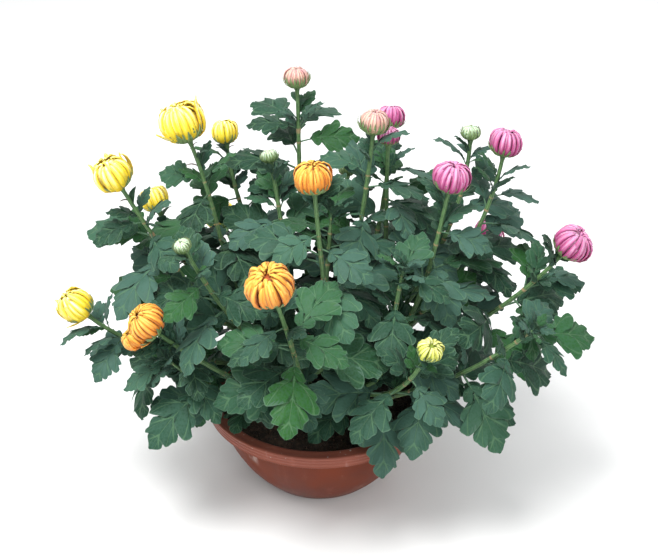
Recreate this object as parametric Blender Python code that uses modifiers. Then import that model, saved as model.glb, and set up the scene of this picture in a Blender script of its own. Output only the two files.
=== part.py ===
# Pot chrysanthemum: a bushy plant with half-open flower heads in a round plastic bowl pot.
# Metres, +Z up. The origin is the middle of the pot's foot and the front of the plant faces -Y.
import math

import bmesh
import bpy
from mathutils import Vector
from mathutils.bvhtree import BVHTree

NAME = "pot_chrysanthemum"
GAP = 0.0003
TURN_STEPS = 32

# Pot: a thin bowl with a skirted rim and a ring of drain holes in its flat foot.
POT_HEIGHT = 0.100
RIM_RADIUS = 0.120
RIM_INNER = 0.107
BAND_HEIGHT = 0.0135
BAND_TAPER = 0.0015
WALL = 0.0025
FOOT_RADIUS = 0.055
FLOOR_THICK = 0.003
FLOOR_CURVE = 0.002
BOWL_ROUNDNESS = 1.4
BOWL_LEVELS = [0.0, 0.06, 0.22, 0.48, 0.76, 1.0]
DRAIN_RING = 0.036
DRAIN_RADIUS = 0.004
DRAIN_COUNT = 6
DRAIN_SIDES = 10
DRAIN_TURN = 0.3

# Potting soil
SOIL_EDGE = 0.084
SOIL_MIDDLE = 0.089
SOIL_SHOULDER = 0.6
SHOULDER_RISE = 0.001
ROOT_DEPTH = 0.028
ROOT_COLLAR = 0.003
SOCKET_RISE = 0.004

# Stems. A shoot leaves its fork at an angle for a part of the way to the point it rises
# through, and comes to its head in line with that point.
FORK_ANGLE = 0.45
FORK_GAP = 0.0004
FORK_REACH = 0.33
ARRIVAL = 0.25
MAIN_TAPER = (0.9, 0.6)
STEM_RADIUS = 0.0027
NECK_RADIUS = 0.0020
FLARE = 1.9
FLARE_LENGTH = 0.005
STEM_SAMPLES = 32
STEM_POINTS = 7
MAIN_SIDES = 8
SHOOT_SIDES = 6

# Leaves: a stalk and a blade with its widest place a little past the middle. They face
# partly out from the heart of the bush and partly to the light, which comes from the front,
# and those that would point inward turn part of the way out.
LEAF_THICK = 0.0014
LEAF_LENGTH = 0.090
LEAF_HALF_WIDTH = 0.31
LEAF_FOLD = 0.14
LEAF_RISE = 26.0
LEAF_DROOP = -30.0
STALK_PART = 0.18
STALK_HALF = 0.0015
LEAF_ROWS = [(0.0, 0.0), (STALK_PART, 0.0), (0.52, 1.0), (0.80, 0.70)]
GOLDEN_ANGLE = 137.5
OUTWARD_PULL = 0.72
BUSH_HEART = Vector((0.0, 0.0, 0.03))
OUTWARD_FACING = 0.45
TO_LIGHT = Vector((0.0, -0.50, 0.86))
FIRST_LEAF = 0.045
FIRST_LEAFY = 0.006
FORK_BARE = 0.018
TOP_LEAF = 0.62
FULL_LEAF_AT = 0.050
LEAF_SPACING = 0.0135
SPACING_GROWTH = 0.0010
MOST_LEAVES = 11
CLEARANCE = 0.0011
STEM_CLEAR = 0.002
POT_CLEAR = 0.003
LEAF_MIDDLE = 0.55
LEAF_REACH = 0.56
STALK_FREE = 0.3
LEAF_ROLLS = [0, 16, -12, 24, -20, 8, -26, 20]
HANGING_LOWEST = 0.020
# How low leaves may hang: bearing of their root from the pot's middle, from and to in
# degrees, and lowest height.
LOW_LIMITS = [(0, 180, 0.088), (180, 262, 0.118), (262, 360, 0.088)]
# Turn, lift (degrees) and scale that a leaf takes to grow clear of its neighbours.
SHIFTS = [
    (0, 0, 1.0), (15, 8, 1.0), (-15, 8, 1.0), (0, 22, 1.0), (0, -20, 1.0), (28, 0, 0.95),
    (-28, 0, 0.95), (20, 30, 0.9), (-20, 30, 0.9), (45, 12, 0.85), (-45, 12, 0.85),
    (0, 42, 0.8), (65, 0, 0.8), (-65, 0, 0.8), (0, -35, 0.8), (30, 35, 0.65), (-30, 35, 0.65),
    (90, 10, 0.6), (-90, 10, 0.6), (0, 0, 0.5),
]

# Flower head: where its centre is above its seat, and its radii and heights from its crown
# down, all as parts of its diameter.
HEAD_SEAT = 0.47
HEAD_STEPS = 9
HEAD_PROFILE = [(0.0, 0.94), (0.27, 0.87), (0.45, 0.66), (0.50, 0.42), (0.38, 0.14), (0.16, 0.0)]

# Main stems: name, foot on the soil (x, y), top (x, y, z), radius.
MAIN_STEMS = [
    ("yellow", (-0.042, 0.015), (-0.050, 0.018, 0.172), 0.0045),
    ("orange", (-0.012, -0.040), (-0.014, -0.046, 0.166), 0.0045),
    ("pink", (0.050, 0.010), (0.057, 0.012, 0.176), 0.0045),
    ("back", (0.000, 0.050), (0.000, 0.058, 0.180), 0.0045),
    ("front", (0.040, -0.046), (0.043, -0.052, 0.150), 0.0040),
]

# Shoots: name, main stem, fork height, centre of the flower head, point the stem rises
# through on its way to the head, head diameter and the turn of its first leaf in degrees.
# A leafy shoot has no head, so its diameter is 0.
SHOOTS = [
    ("yellow_1", "yellow", 0.158, (-0.134, 0.040, 0.387), (-0.102, 0.030, 0.301), 0.043, 150),
    ("yellow_2", "back", 0.148, (-0.097, 0.100, 0.351), (-0.091, 0.085, 0.291), 0.027, 100),
    ("yellow_3", "yellow", 0.140, (-0.195, -0.020, 0.360), (-0.161, -0.010, 0.283), 0.036, 200),
    ("yellow_4", "yellow", 0.127, (-0.169, 0.060, 0.294), (-0.150, 0.045, 0.242), 0.028, 120),
    ("yellow_5", "yellow", 0.113, (-0.239, -0.040, 0.228), (-0.195, -0.035, 0.175), 0.035, 250),
    ("yellow_6", "yellow", 0.119, (-0.115, 0.205, 0.200), (-0.090, 0.160, 0.160), 0.034, 60),
    ("orange_1", "orange", 0.150, (-0.005, -0.050, 0.371), (0.003, -0.050, 0.255), 0.035, 200),
    ("orange_2", "orange", 0.130, (-0.042, -0.160, 0.320), (-0.020, -0.120, 0.217), 0.042, 215),
    ("orange_3", "orange", 0.113, (-0.166, -0.100, 0.244), (-0.105, -0.075, 0.173), 0.040, 300),
    ("orange_4", "back", 0.115, (0.000, 0.225, 0.215), (0.000, 0.175, 0.170), 0.036, 30),
    ("pink_1", "back", 0.164, (-0.023, 0.100, 0.411), (-0.020, 0.095, 0.332), 0.026, 190),
    ("pink_2", "pink", 0.158, (0.053, 0.020, 0.397), (0.044, 0.020, 0.289), 0.029, 200),
    ("pink_3", "back", 0.155, (0.072, 0.080, 0.377), (0.069, 0.060, 0.303), 0.028, 330),
    ("pink_4", "pink", 0.150, (0.068, 0.045, 0.371), (0.066, 0.042, 0.310), 0.022, 110),
    ("pink_5", "pink", 0.140, (0.184, 0.050, 0.363), (0.174, 0.040, 0.285), 0.034, 10),
    ("pink_6", "pink", 0.148, (0.126, -0.020, 0.358), (0.112, -0.020, 0.272), 0.036, 340),
    ("pink_7", "pink", 0.120, (0.241, -0.050, 0.303), (0.198, -0.030, 0.227), 0.037, 350),
    ("pink_8", "back", 0.126, (0.110, 0.215, 0.200), (0.085, 0.165, 0.165), 0.036, 20),
    ("pink_9", "pink", 0.113, (0.190, 0.165, 0.200), (0.150, 0.125, 0.160), 0.034, 75),
    ("green_1", "orange", 0.144, (-0.050, 0.040, 0.352), (-0.037, 0.030, 0.290), 0.018, 110),
    ("green_2", "yellow", 0.152, (-0.125, -0.090, 0.321), (-0.096, -0.075, 0.248), 0.017, 230),
    ("green_3", "pink", 0.162, (0.150, 0.060, 0.369), (0.150, 0.055, 0.305), 0.020, 60),
    ("green_4", "back", 0.137, (0.030, 0.195, 0.265), (0.028, 0.155, 0.210), 0.019, 80),
    ("lemon_1", "front", 0.132, (0.101, -0.150, 0.247), (0.084, -0.125, 0.185), 0.023, 300),
    ("leafy_1", "front", 0.117, (0.200, -0.100, 0.235), (0.150, -0.085, 0.175), 0.0, 320),
    ("leafy_2", "orange", 0.104, (-0.145, -0.090, 0.195), (-0.100, -0.080, 0.145), 0.0, 200),
    ("leafy_3", "back", 0.105, (-0.170, 0.160, 0.185), (-0.115, 0.120, 0.150), 0.0, 130),
    ("leafy_4", "front", 0.141, (0.080, -0.055, 0.275), (0.070, -0.060, 0.215), 0.0, 330),
    ("leafy_5", "orange", 0.138, (0.012, 0.015, 0.300), (0.006, -0.010, 0.230), 0.0, 80),
]

# Leaves in known places: stem, distance back from its end, heading, lift (degrees), size.
SET_LEAVES = [
    ("shoot_yellow_1", 0.072, 170, -10, 0.90),
    ("shoot_yellow_3", 0.064, 160, 0, 0.90),
    ("shoot_yellow_5", 0.164, 240, 0, 0.90),
    ("shoot_orange_1", 0.068, 160, 0, 0.90),
    ("shoot_orange_2", 0.072, 60, 0, 0.90),
    ("shoot_orange_2", 0.085, 170, 0, 0.85),
    ("shoot_orange_2", 0.100, 0, -10, 1.05),
    ("shoot_orange_2", 0.110, 230, 20, 0.90),
    ("shoot_pink_1", 0.044, 130, 0, 0.85),
    ("shoot_pink_1", 0.048, 65, -10, 0.90),
    ("shoot_pink_5", 0.116, 30, 0, 0.90),
    ("shoot_pink_5", 0.140, 20, -10, 1.05),
    ("shoot_pink_6", 0.076, 120, 0, 1.00),
    ("shoot_pink_6", 0.104, 20, -35, 0.90),
    ("shoot_pink_7", 0.058, 15, 10, 0.75),
    ("shoot_pink_7", 0.124, 290, -10, 1.05),
    ("shoot_leafy_1", 0.012, 10, 0, 0.90),
    ("shoot_leafy_1", 0.104, 330, 0, 0.90),
    ("main_stem_orange", 0.040, 260, -10, 0.90),
    ("main_stem_front", 0.044, 300, -10, 0.90),
]

COLOURS = {
    "pot": (0.28, 0.10, 0.07),
    "soil": (0.035, 0.025, 0.018),
    "foliage": (0.045, 0.13, 0.07),
    "yellow": (0.85, 0.62, 0.05),
    "orange": (0.80, 0.30, 0.04),
    "pink": (0.60, 0.14, 0.32),
    "green": (0.35, 0.50, 0.25),
    "lemon": (0.60, 0.65, 0.12),
}


def clear_scene():
    for item in list(bpy.data.objects):
        bpy.data.objects.remove(item, do_unlink=True)


def make_collection(name):
    group = bpy.data.collections.new(name)
    bpy.context.scene.collection.children.link(group)
    return group


def make_material(name, colour, roughness):
    material = bpy.data.materials.new(name)
    material.use_nodes = True
    shader = material.node_tree.nodes["Principled BSDF"]
    shader.inputs["Base Color"].default_value = (*colour, 1.0)
    shader.inputs["Roughness"].default_value = roughness
    shader.inputs["Metallic"].default_value = 0.0
    return material


def add_object(name, mesh, group, material=None):
    item = bpy.data.objects.new(name, mesh)
    group.objects.link(item)
    if material:
        item.data.materials.append(material)
    return item


def polyline(name, points):
    mesh = bpy.data.meshes.new(name)
    mesh.from_pydata(points, [(i, i + 1) for i in range(len(points) - 1)], [])
    return mesh


# A solid turned about Z from (radius, height) points that run down its outer side.
def turned(name, profile, steps, group, material):
    mesh = polyline(name, [(radius, 0.0, height) for radius, height in profile])
    item = add_object(name, mesh, group, material)
    screw = item.modifiers.new("turn", "SCREW")
    screw.axis = "Z"
    screw.steps = steps
    screw.render_steps = steps
    screw.use_merge_vertices = True
    screw.merge_threshold = 0.00001
    screw.use_smooth_shade = True
    return item


def cut(item, cutter):
    boolean = item.modifiers.new("cut_" + cutter.name, "BOOLEAN")
    boolean.operation = "DIFFERENCE"
    boolean.solver = "EXACT"
    boolean.object = cutter
    cutter.hide_render = True
    cutter.display_type = "WIRE"


# Outer radius of the bowl at a fraction of the height below its rim band.
def bowl_radius(level):
    fall = (1.0 - level) ** BOWL_ROUNDNESS
    swell = (1.0 - fall) ** (1.0 / BOWL_ROUNDNESS)
    top = RIM_INNER + WALL - BAND_TAPER
    return FOOT_RADIUS + (top - FOOT_RADIUS) * swell


def bowl_height():
    return POT_HEIGHT - BAND_HEIGHT + GAP


# The inside of the bowl, from its floor up to the rim.
def inner_wall():
    wall = [(FOOT_RADIUS - WALL, FLOOR_THICK)]
    for level in BOWL_LEVELS[1:]:
        height = level * bowl_height()
        wall.append((bowl_radius(level) - WALL, max(height, FLOOR_THICK + FLOOR_CURVE)))
    wall.append((RIM_INNER, POT_HEIGHT))
    return wall


def pot_profile():
    band_foot = POT_HEIGHT - BAND_HEIGHT
    under = POT_HEIGHT - WALL
    profile = [(0.0, FLOOR_THICK)]
    profile += inner_wall()
    profile.append((RIM_RADIUS, POT_HEIGHT))
    profile.append((RIM_RADIUS - BAND_TAPER, band_foot))
    profile.append((RIM_RADIUS - BAND_TAPER - WALL, band_foot))
    profile.append((RIM_RADIUS - WALL, under))
    profile.append((RIM_INNER + WALL, under))
    for level in reversed(BOWL_LEVELS):
        profile.append((bowl_radius(level), level * bowl_height()))
    profile.append((0.0, 0.0))
    return profile


def make_pot(group, cutters):
    material = make_material("pot_plastic", COLOURS["pot"], 0.45)
    pot = turned("pot", pot_profile(), TURN_STEPS, group, material)
    for i in range(DRAIN_COUNT):
        angle = 2.0 * math.pi * (i + DRAIN_TURN) / DRAIN_COUNT
        place = (DRAIN_RING * math.cos(angle), DRAIN_RING * math.sin(angle), 0.0)
        bpy.ops.mesh.primitive_cylinder_add(
            vertices=DRAIN_SIDES, radius=DRAIN_RADIUS, depth=4.0 * FLOOR_THICK, location=place
        )
        cutter = bpy.context.object
        cutter.name = f"drain_{i + 1}"
        move_to(cutter, cutters)
        cut(pot, cutter)
    return pot


def move_to(item, group):
    for old in list(item.users_collection):
        old.objects.unlink(item)
    group.objects.link(item)


def soil_profile():
    wall = [(radius - GAP, height) for radius, height in inner_wall()]
    low = [point for point in wall if point[1] < SOIL_EDGE]
    below = low[-1]
    above = wall[len(low)]
    part = (SOIL_EDGE - below[1]) / (above[1] - below[1])
    edge = below[0] + part * (above[0] - below[0])
    shoulder = 0.5 * (SOIL_MIDDLE + SOIL_EDGE) + SHOULDER_RISE
    profile = [(0.0, SOIL_MIDDLE), (SOIL_SHOULDER * edge, shoulder)]
    profile.append((edge - GAP, SOIL_EDGE))
    profile += [(radius - GAP, height) for radius, height in reversed(low[1:])]
    profile.append((low[0][0] - GAP, FLOOR_THICK + GAP))
    profile.append((0.0, FLOOR_THICK + GAP))
    return profile


# Points of a main stem: straight down in the soil, then a gentle lean to its top.
def main_path(row):
    name, foot, top, radius = row
    low = Vector((foot[0], foot[1], SOIL_MIDDLE + ROOT_COLLAR))
    high = Vector(top)
    bend = low.copy()
    bend.z = 0.5 * (low.z + high.z)
    steps = [i / STEM_SAMPLES for i in range(STEM_SAMPLES + 1)]
    return [low * (1 - t) ** 2 + bend * (2 * t * (1 - t)) + high * t * t for t in steps]


def find_main(name):
    return next(row for row in MAIN_STEMS if row[0] == name)


# Points of a shoot from its fork on the main stem to the seat of its flower head.
def shoot_path(row):
    name, main, fork_height, head, rise, size, turn = row
    path = main_path(find_main(main))
    fork = min(path, key=lambda point: abs(point.z - fork_height))
    centre = Vector(head)
    through = Vector(rise)
    out = Vector((through.x - fork.x, through.y - fork.y, 0.0)).normalized()
    lean = (centre - through).normalized()
    slope = STEM_RADIUS * math.sin(FORK_ANGLE)
    start = fork + out * (find_main(main)[3] + slope + FORK_GAP)
    reach = FORK_REACH * (through - start).length
    leave = start + (out * math.cos(FORK_ANGLE) + Vector((0, 0, math.sin(FORK_ANGLE)))) * reach
    seat = centre - lean * (HEAD_SEAT * size)
    arrive = through + (through - centre) * ARRIVAL
    steps = [i / STEM_SAMPLES for i in range(STEM_SAMPLES + 1)]
    return [
        start * (1 - t) ** 3
        + leave * (3 * t * (1 - t) ** 2)
        + arrive * (3 * t * t * (1 - t))
        + seat * t ** 3
        for t in steps
    ]


def length_of(path):
    return sum((b - a).length for a, b in zip(path, path[1:]))


# The point at a distance back from the end of a path.
def back_along(path, distance):
    left = distance
    for a, b in zip(reversed(path), reversed(path[:-1])):
        step = (b - a).length
        if left <= step:
            return a.lerp(b, left / step)
        left -= step
    return path[0].copy()


# A leaf is its root, the way it heads, the way it faces, its pitch at the root and at the
# tip, its length and its half width. It arches in the plane of its first two directions.
def leaf_point(leaf, along, across):
    root, ahead, facing, rise, droop, length, half = leaf
    bend = droop - rise
    here = rise + bend * along
    forward = length * (math.sin(here) - math.sin(rise)) / bend
    up = length * (math.cos(rise) - math.cos(here)) / bend
    normal = facing * math.cos(here) - ahead * math.sin(here)
    point = root + ahead * forward + facing * up + facing.cross(ahead) * across
    return point + normal * (abs(across) * LEAF_FOLD), normal


# Points and faces of a blade lifted off its middle surface by a distance.
def leaf_sheet(leaf, lift):
    half = leaf[6]
    points = []
    for along, width in LEAF_ROWS:
        places = [-STALK_HALF, STALK_HALF] if width == 0.0 else [-half * width, 0.0, half * width]
        for across in places:
            point, normal = leaf_point(leaf, along, across)
            points.append(point + normal * lift)
    point, normal = leaf_point(leaf, 1.0, 0.0)
    points.append(point + normal * lift)
    faces = [(0, 1, 3, 2), (2, 5, 4), (2, 3, 5), (3, 6, 5)]
    faces += [(4, 5, 8, 7), (5, 6, 9, 8), (7, 8, 10), (8, 9, 10)]
    return points, faces


def leaf_tree(leaf):
    points = []
    faces = []
    for lift in (-CLEARANCE, CLEARANCE):
        sheet, sides = leaf_sheet(leaf, lift)
        faces += [tuple(i + len(points) for i in side) for side in sides]
        points += sheet
    return BVHTree.FromPolygons(points, faces)


# Whether a blade stays out of the pot's rim, the soil and the ground.
def clear_of_pot(leaf, lowest):
    half = leaf[6]
    for i in range(3, 17):
        along = i / 16
        width = half * min(1.0, 2.2 * (along - STALK_PART + 0.02), 3.2 * (1.02 - along))
        for part in (-1.0, -0.5, 0.0, 0.5, 1.0):
            point = leaf_point(leaf, along, width * part)[0]
            radius = math.hypot(point.x, point.y)
            if point.z < lowest:
                return False
            inside = radius <= RIM_INNER - POT_CLEAR
            if inside and point.z < SOIL_MIDDLE + POT_CLEAR:
                return False
            over_rim = not inside and radius < RIM_RADIUS + POT_CLEAR
            if over_rim and point.z < POT_HEIGHT + POT_CLEAR:
                return False
    return True


# Whether a blade stays clear of every stem, head and earlier leaf near it.
def clear_of_plant(leaf, own, stems, heads, leaves):
    middle = leaf_point(leaf, LEAF_MIDDLE, 0.0)[0]
    reach = LEAF_REACH * leaf[5]
    tree = leaf_tree(leaf)
    stalk = leaf[0]
    for name, points, radius in stems:
        for point in points:
            if (point - middle).length > reach:
                continue
            if name == own and (point - stalk).length < STALK_FREE * leaf[5]:
                continue
            if tree.find_nearest(point, radius + STEM_CLEAR)[0] is not None:
                return False
    for centre, radius in heads:
        if (centre - middle).length > reach + radius:
            continue
        if tree.find_nearest(centre, radius + STEM_CLEAR)[0] is not None:
            return False
    for other_middle, other_reach, other in leaves:
        if (other_middle - middle).length < reach + other_reach and tree.overlap(other):
            return False
    return True


# Where leaves spring from a stem: distances back from its end, with the leaf's size there.
def leaf_stations(length, first):
    stations = []
    place = first
    while place < length - FORK_BARE and len(stations) < MOST_LEAVES:
        size = min(1.0, TOP_LEAF + (1.0 - TOP_LEAF) * (place - first) / FULL_LEAF_AT)
        stations.append((place, size))
        place += LEAF_SPACING + SPACING_GROWTH * len(stations)
    return stations


def make_leaf(path, place, size, turn, lift, scale, roll):
    root = back_along(path, place)
    length = LEAF_LENGTH * size * scale
    heading = math.radians(turn)
    outward = (root - BUSH_HEART).normalized()
    facing = (outward * OUTWARD_FACING + TO_LIGHT * (1.0 - OUTWARD_FACING)).normalized()
    ahead = Vector((math.cos(heading), math.sin(heading), 0.0))
    ahead = (ahead - facing * ahead.dot(facing)).normalized()
    tipped = math.radians(roll)
    facing = facing * math.cos(tipped) + facing.cross(ahead) * math.sin(tipped)
    rise = math.radians(LEAF_RISE + lift)
    droop = math.radians(LEAF_DROOP + lift)
    return (root, ahead, facing, rise, droop, length, LEAF_HALF_WIDTH * length)


# The heading of the leaf of a rank: a golden-angle turn on from the last, then pulled
# round towards the outside of the bush.
def leaf_heading(path, place, turn, rank):
    root = back_along(path, place)
    outward = math.degrees(math.atan2(root.y, root.x))
    apart = (turn + GOLDEN_ANGLE * rank - outward + 180.0) % 360.0 - 180.0
    return outward + OUTWARD_PULL * apart


# How low a leaf that springs from a point may hang.
def lowest_at(root):
    bearing = math.degrees(math.atan2(root.y, root.x)) % 360.0
    return next(lowest for start, end, lowest in LOW_LIMITS if start <= bearing < end)


# Every stem with its name, points, base radius, leaf stations and first leaf's turn.
def plan_stems():
    plan = []
    for row in MAIN_STEMS:
        path = main_path(row)
        outward = math.degrees(math.atan2(row[2][1], row[2][0]))
        stations = leaf_stations(length_of(path), FIRST_LEAFY)
        plan.append(("main_stem_" + row[0], path, row[3], stations, outward))
    for row in SHOOTS:
        path = shoot_path(row)
        stations = leaf_stations(length_of(path), FIRST_LEAF if row[5] > 0.0 else FIRST_LEAFY)
        plan.append(("shoot_" + row[0], path, STEM_RADIUS, stations, row[6]))
    return plan


# The leaves of each stem, placed in one order for the whole plant so that none crosses
# another: first the ones in known places, then the top leaf of every stem, and so on down.
def grow_plant():
    plan = plan_stems()
    stems = [(name, path, radius) for name, path, radius, stations, turn in plan]
    heads = [(Vector(row[3]), 0.5 * row[5]) for row in SHOOTS if row[5] > 0.0]
    paths = {name: path for name, path, radius in stems}
    grown = {name: [] for name in paths}
    placed = []

    def add_leaf(name, leaf, lowest):
        if not clear_of_pot(leaf, lowest) or not clear_of_plant(leaf, name, stems, heads, placed):
            return False
        middle = leaf_point(leaf, LEAF_MIDDLE, 0.0)[0]
        placed.append((middle, LEAF_REACH * leaf[5], leaf_tree(leaf)))
        grown[name].append(leaf)
        return True

    for name, place, heading, lift, size in SET_LEAVES:
        add_leaf(name, make_leaf(paths[name], place, size, heading, lift, 1.0, 0.0), HANGING_LOWEST)
    for rank in range(MOST_LEAVES):
        for number, (name, path, radius, stations, turn) in enumerate(plan):
            if rank >= len(stations):
                continue
            place, size = stations[rank]
            heading = leaf_heading(path, place, turn, rank)
            lowest = lowest_at(back_along(path, place))
            roll = LEAF_ROLLS[(rank + 3 * number) % len(LEAF_ROLLS)]
            for side, lift, scale in SHIFTS:
                leaf = make_leaf(path, place, size, heading + side, lift, scale, roll)
                if add_leaf(name, leaf, lowest):
                    break
    return grown


# The many-sided section of a stem, which is ribbed.
def make_section(sides, group):
    curve = bpy.data.curves.new(f"section_{sides}", "CURVE")
    spline = curve.splines.new("POLY")
    spline.points.add(sides - 1)
    spline.use_cyclic_u = True
    for i, knot in enumerate(spline.points):
        angle = 2.0 * math.pi * i / sides
        knot.co = (math.cos(angle), math.sin(angle), 0.0, 1.0)
    section = add_object(f"section_{sides}", curve, group)
    section.hide_render = True


# A closed tube along points, with a radius for each point.
def tube_object(name, points, radii, sides, group):
    curve = bpy.data.curves.new(name, "CURVE")
    curve.dimensions = "3D"
    curve.bevel_mode = "OBJECT"
    curve.bevel_object = bpy.data.objects[f"section_{sides}"]
    curve.use_fill_caps = True
    spline = curve.splines.new("POLY")
    spline.points.add(len(points) - 1)
    for knot, point, radius in zip(spline.points, points, radii):
        knot.co = (*point, 1.0)
        knot.radius = radius
    item = add_object(name, curve, group)
    graph = bpy.context.evaluated_depsgraph_get()
    mesh = bpy.data.meshes.new_from_object(item.evaluated_get(graph))
    bpy.data.objects.remove(item, do_unlink=True)
    weld(mesh)
    return add_object(name, mesh, group)


def weld(mesh):
    body = bmesh.new()
    body.from_mesh(mesh)
    bmesh.ops.remove_doubles(body, verts=body.verts, dist=0.00001)
    bmesh.ops.recalc_face_normals(body, faces=body.faces)
    body.to_mesh(mesh)
    body.free()


def thin_path(path):
    return [path[round(i * STEM_SAMPLES / (STEM_POINTS - 1))] for i in range(STEM_POINTS)]


def flared_tube(name, path, group):
    points = thin_path(path)
    neck = back_along(path, FLARE_LENGTH)
    points = points[:-1] + [neck, points[-1]]
    taper = [STEM_RADIUS + (NECK_RADIUS - STEM_RADIUS) * i / STEM_POINTS for i in range(STEM_POINTS)]
    return tube_object(name, points, taper + [NECK_RADIUS * FLARE], SHOOT_SIDES, group)


# A leaf lofted from a keeled stalk to a blade that is thickest at its midrib.
def leaf_object(name, leaf, group):
    points, top = leaf_sheet(leaf, 0.0)
    keels = []
    for along, width in LEAF_ROWS:
        point, normal = leaf_point(leaf, along, 0.0)
        depth = LEAF_THICK if width > 0.0 else 2.0 * STALK_HALF
        keels.append(len(points))
        points.append(point - normal * depth)
    root, base, wide, shoulder = keels
    under = [(1, 0, root), (0, 2, base, root), (1, root, base, 3)]
    under += [(2, 4, wide, base), (3, base, wide, 6), (4, 7, shoulder, wide)]
    under += [(6, wide, shoulder, 9), (7, 10, shoulder), (9, shoulder, 10)]
    mesh = bpy.data.meshes.new(name)
    mesh.from_pydata(points, [], top + under)
    item = add_object(name, mesh, group)
    weld(item.data)
    return item


# Grows the leaves onto a stem, which makes stem and leaves one body.
def join_leaves(stem, leaves, group):
    for i, leaf in enumerate(leaves):
        blade = leaf_object(f"{stem.name}_leaf_{i + 1}", leaf, group)
        union = stem.modifiers.new("leaf", "BOOLEAN")
        union.operation = "UNION"
        union.solver = "EXACT"
        union.object = blade
        graph = bpy.context.evaluated_depsgraph_get()
        mesh = bpy.data.meshes.new_from_object(stem.evaluated_get(graph))
        stem.modifiers.clear()
        stem.data = mesh
        bpy.data.objects.remove(blade, do_unlink=True)


def make_main_stems(grown, soil, group, cutters, material):
    for row in MAIN_STEMS:
        name = "main_stem_" + row[0]
        path = main_path(row)
        root = path[0].copy()
        root.z -= ROOT_DEPTH
        points = [root] + thin_path(path)
        radii = [row[3]] * (STEM_POINTS - 1) + [part * row[3] for part in MAIN_TAPER]
        socket_points = [root - Vector((0, 0, GAP)), path[0] + Vector((0, 0, SOCKET_RISE))]
        socket = tube_object("socket_" + row[0], socket_points, [row[3] + GAP] * 2, MAIN_SIDES, cutters)
        cut(soil, socket)
        stem = tube_object(name, points, radii, MAIN_SIDES, group)
        join_leaves(stem, grown[name], group)
        stem.data.materials.clear()
        stem.data.materials.append(material)


def make_shoots(grown, group, material):
    for row in SHOOTS:
        name = "shoot_" + row[0]
        stem = flared_tube(name, shoot_path(row), group)
        join_leaves(stem, grown[name], group)
        stem.data.materials.clear()
        stem.data.materials.append(material)


def make_heads(group):
    for row in SHOOTS:
        name, main, fork_height, head, rise, size, turn = row
        if size == 0.0:
            continue
        colour = name.split("_")[0]
        material = make_material("petals_" + name, COLOURS[colour], 0.5)
        profile = [(radius * size, height * size) for radius, height in HEAD_PROFILE]
        profile.append((0.0, 0.0))
        bloom = turned("bloom_" + name, profile, HEAD_STEPS, group, material)
        path = shoot_path(row)
        axis = (path[-1] - path[-2]).normalized()
        bloom.location = path[-1] + axis * GAP
        bloom.rotation_mode = "QUATERNION"
        bloom.rotation_quaternion = axis.to_track_quat("Z", "Y")


def main():
    clear_scene()
    plant = make_collection(NAME)
    cutters = make_collection("cutters")
    make_section(MAIN_SIDES, cutters)
    make_section(SHOOT_SIDES, cutters)
    make_pot(plant, cutters)
    soil_material = make_material("potting_soil", COLOURS["soil"], 0.95)
    soil = turned("soil", soil_profile(), TURN_STEPS, plant, soil_material)
    grown = grow_plant()
    foliage = make_material("foliage", COLOURS["foliage"], 0.6)
    make_main_stems(grown, soil, plant, cutters, foliage)
    make_shoots(grown, plant, foliage)
    make_heads(plant)
    print("leaves:", sum(len(leaves) for leaves in grown.values()))


main()
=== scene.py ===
import math
import random

import bmesh
import bpy
from mathutils import Matrix, Vector, noise
from mathutils.bvhtree import BVHTree


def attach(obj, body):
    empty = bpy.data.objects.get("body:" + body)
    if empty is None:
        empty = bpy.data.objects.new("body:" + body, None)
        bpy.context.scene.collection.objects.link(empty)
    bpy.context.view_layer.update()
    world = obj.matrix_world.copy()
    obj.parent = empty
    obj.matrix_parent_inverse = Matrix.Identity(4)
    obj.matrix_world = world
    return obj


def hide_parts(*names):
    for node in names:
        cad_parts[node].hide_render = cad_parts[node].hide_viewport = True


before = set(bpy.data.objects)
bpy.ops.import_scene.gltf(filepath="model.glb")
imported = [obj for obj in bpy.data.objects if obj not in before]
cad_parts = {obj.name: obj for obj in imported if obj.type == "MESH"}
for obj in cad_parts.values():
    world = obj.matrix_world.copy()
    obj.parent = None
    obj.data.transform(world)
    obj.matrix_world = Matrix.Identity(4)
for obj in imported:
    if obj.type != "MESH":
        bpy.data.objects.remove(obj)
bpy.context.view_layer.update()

scene = bpy.context.scene
print("frame loaded,", len(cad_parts), "nodes")

# the photograph's viewpoint, about 34 degrees above the rim
cameraSetup = {
    "spot": (0.0095, -1.1538, 0.8930),
    "pitch": 60.24,                     # degrees up from straight down
    "lens": 72.55,
    "sensor": 36.0,
    "farthest": 30.0,
}


def placeCamera(setup):
    lensData = bpy.data.cameras.new("photoCamera")
    lensData.lens = setup["lens"]
    lensData.sensor_width = setup["sensor"]
    lensData.clip_end = setup["farthest"]
    camera = bpy.data.objects.new("photoCamera", lensData)
    camera.location = setup["spot"]
    camera.rotation_euler = (math.radians(setup["pitch"]), 0.0, 0.0)
    scene.collection.objects.link(camera)
    scene.camera = camera


placeCamera(cameraSetup)


# helpers for node trees, used by finishes and by geometry trees alike
def put(tree, socket, value):
    if isinstance(value, bpy.types.NodeSocket):
        tree.links.new(value, socket)
    else:
        socket.default_value = value


# a new node with values or links at its inputs
def added(tree, kind, inputs, **settings):
    node = tree.nodes.new(kind)
    for name, value in settings.items():
        setattr(node, name, value)
    for name, value in inputs.items():
        put(tree, node.inputs[name], value)
    return node


def maths(tree, operation, *values):
    return added(tree, "ShaderNodeMath", dict(enumerate(values)), operation=operation).outputs[0]


def plus(tree, first, second):
    return maths(tree, "ADD", first, second)


def times(tree, first, second):
    return maths(tree, "MULTIPLY", first, second)


def between(tree, value, low, high, toLow=0.0, toHigh=1.0):
    inputs = dict(enumerate((value, low, high, toLow, toHigh)))
    return added(tree, "ShaderNodeMapRange", inputs, interpolation_type="SMOOTHSTEP").outputs[0]


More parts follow.
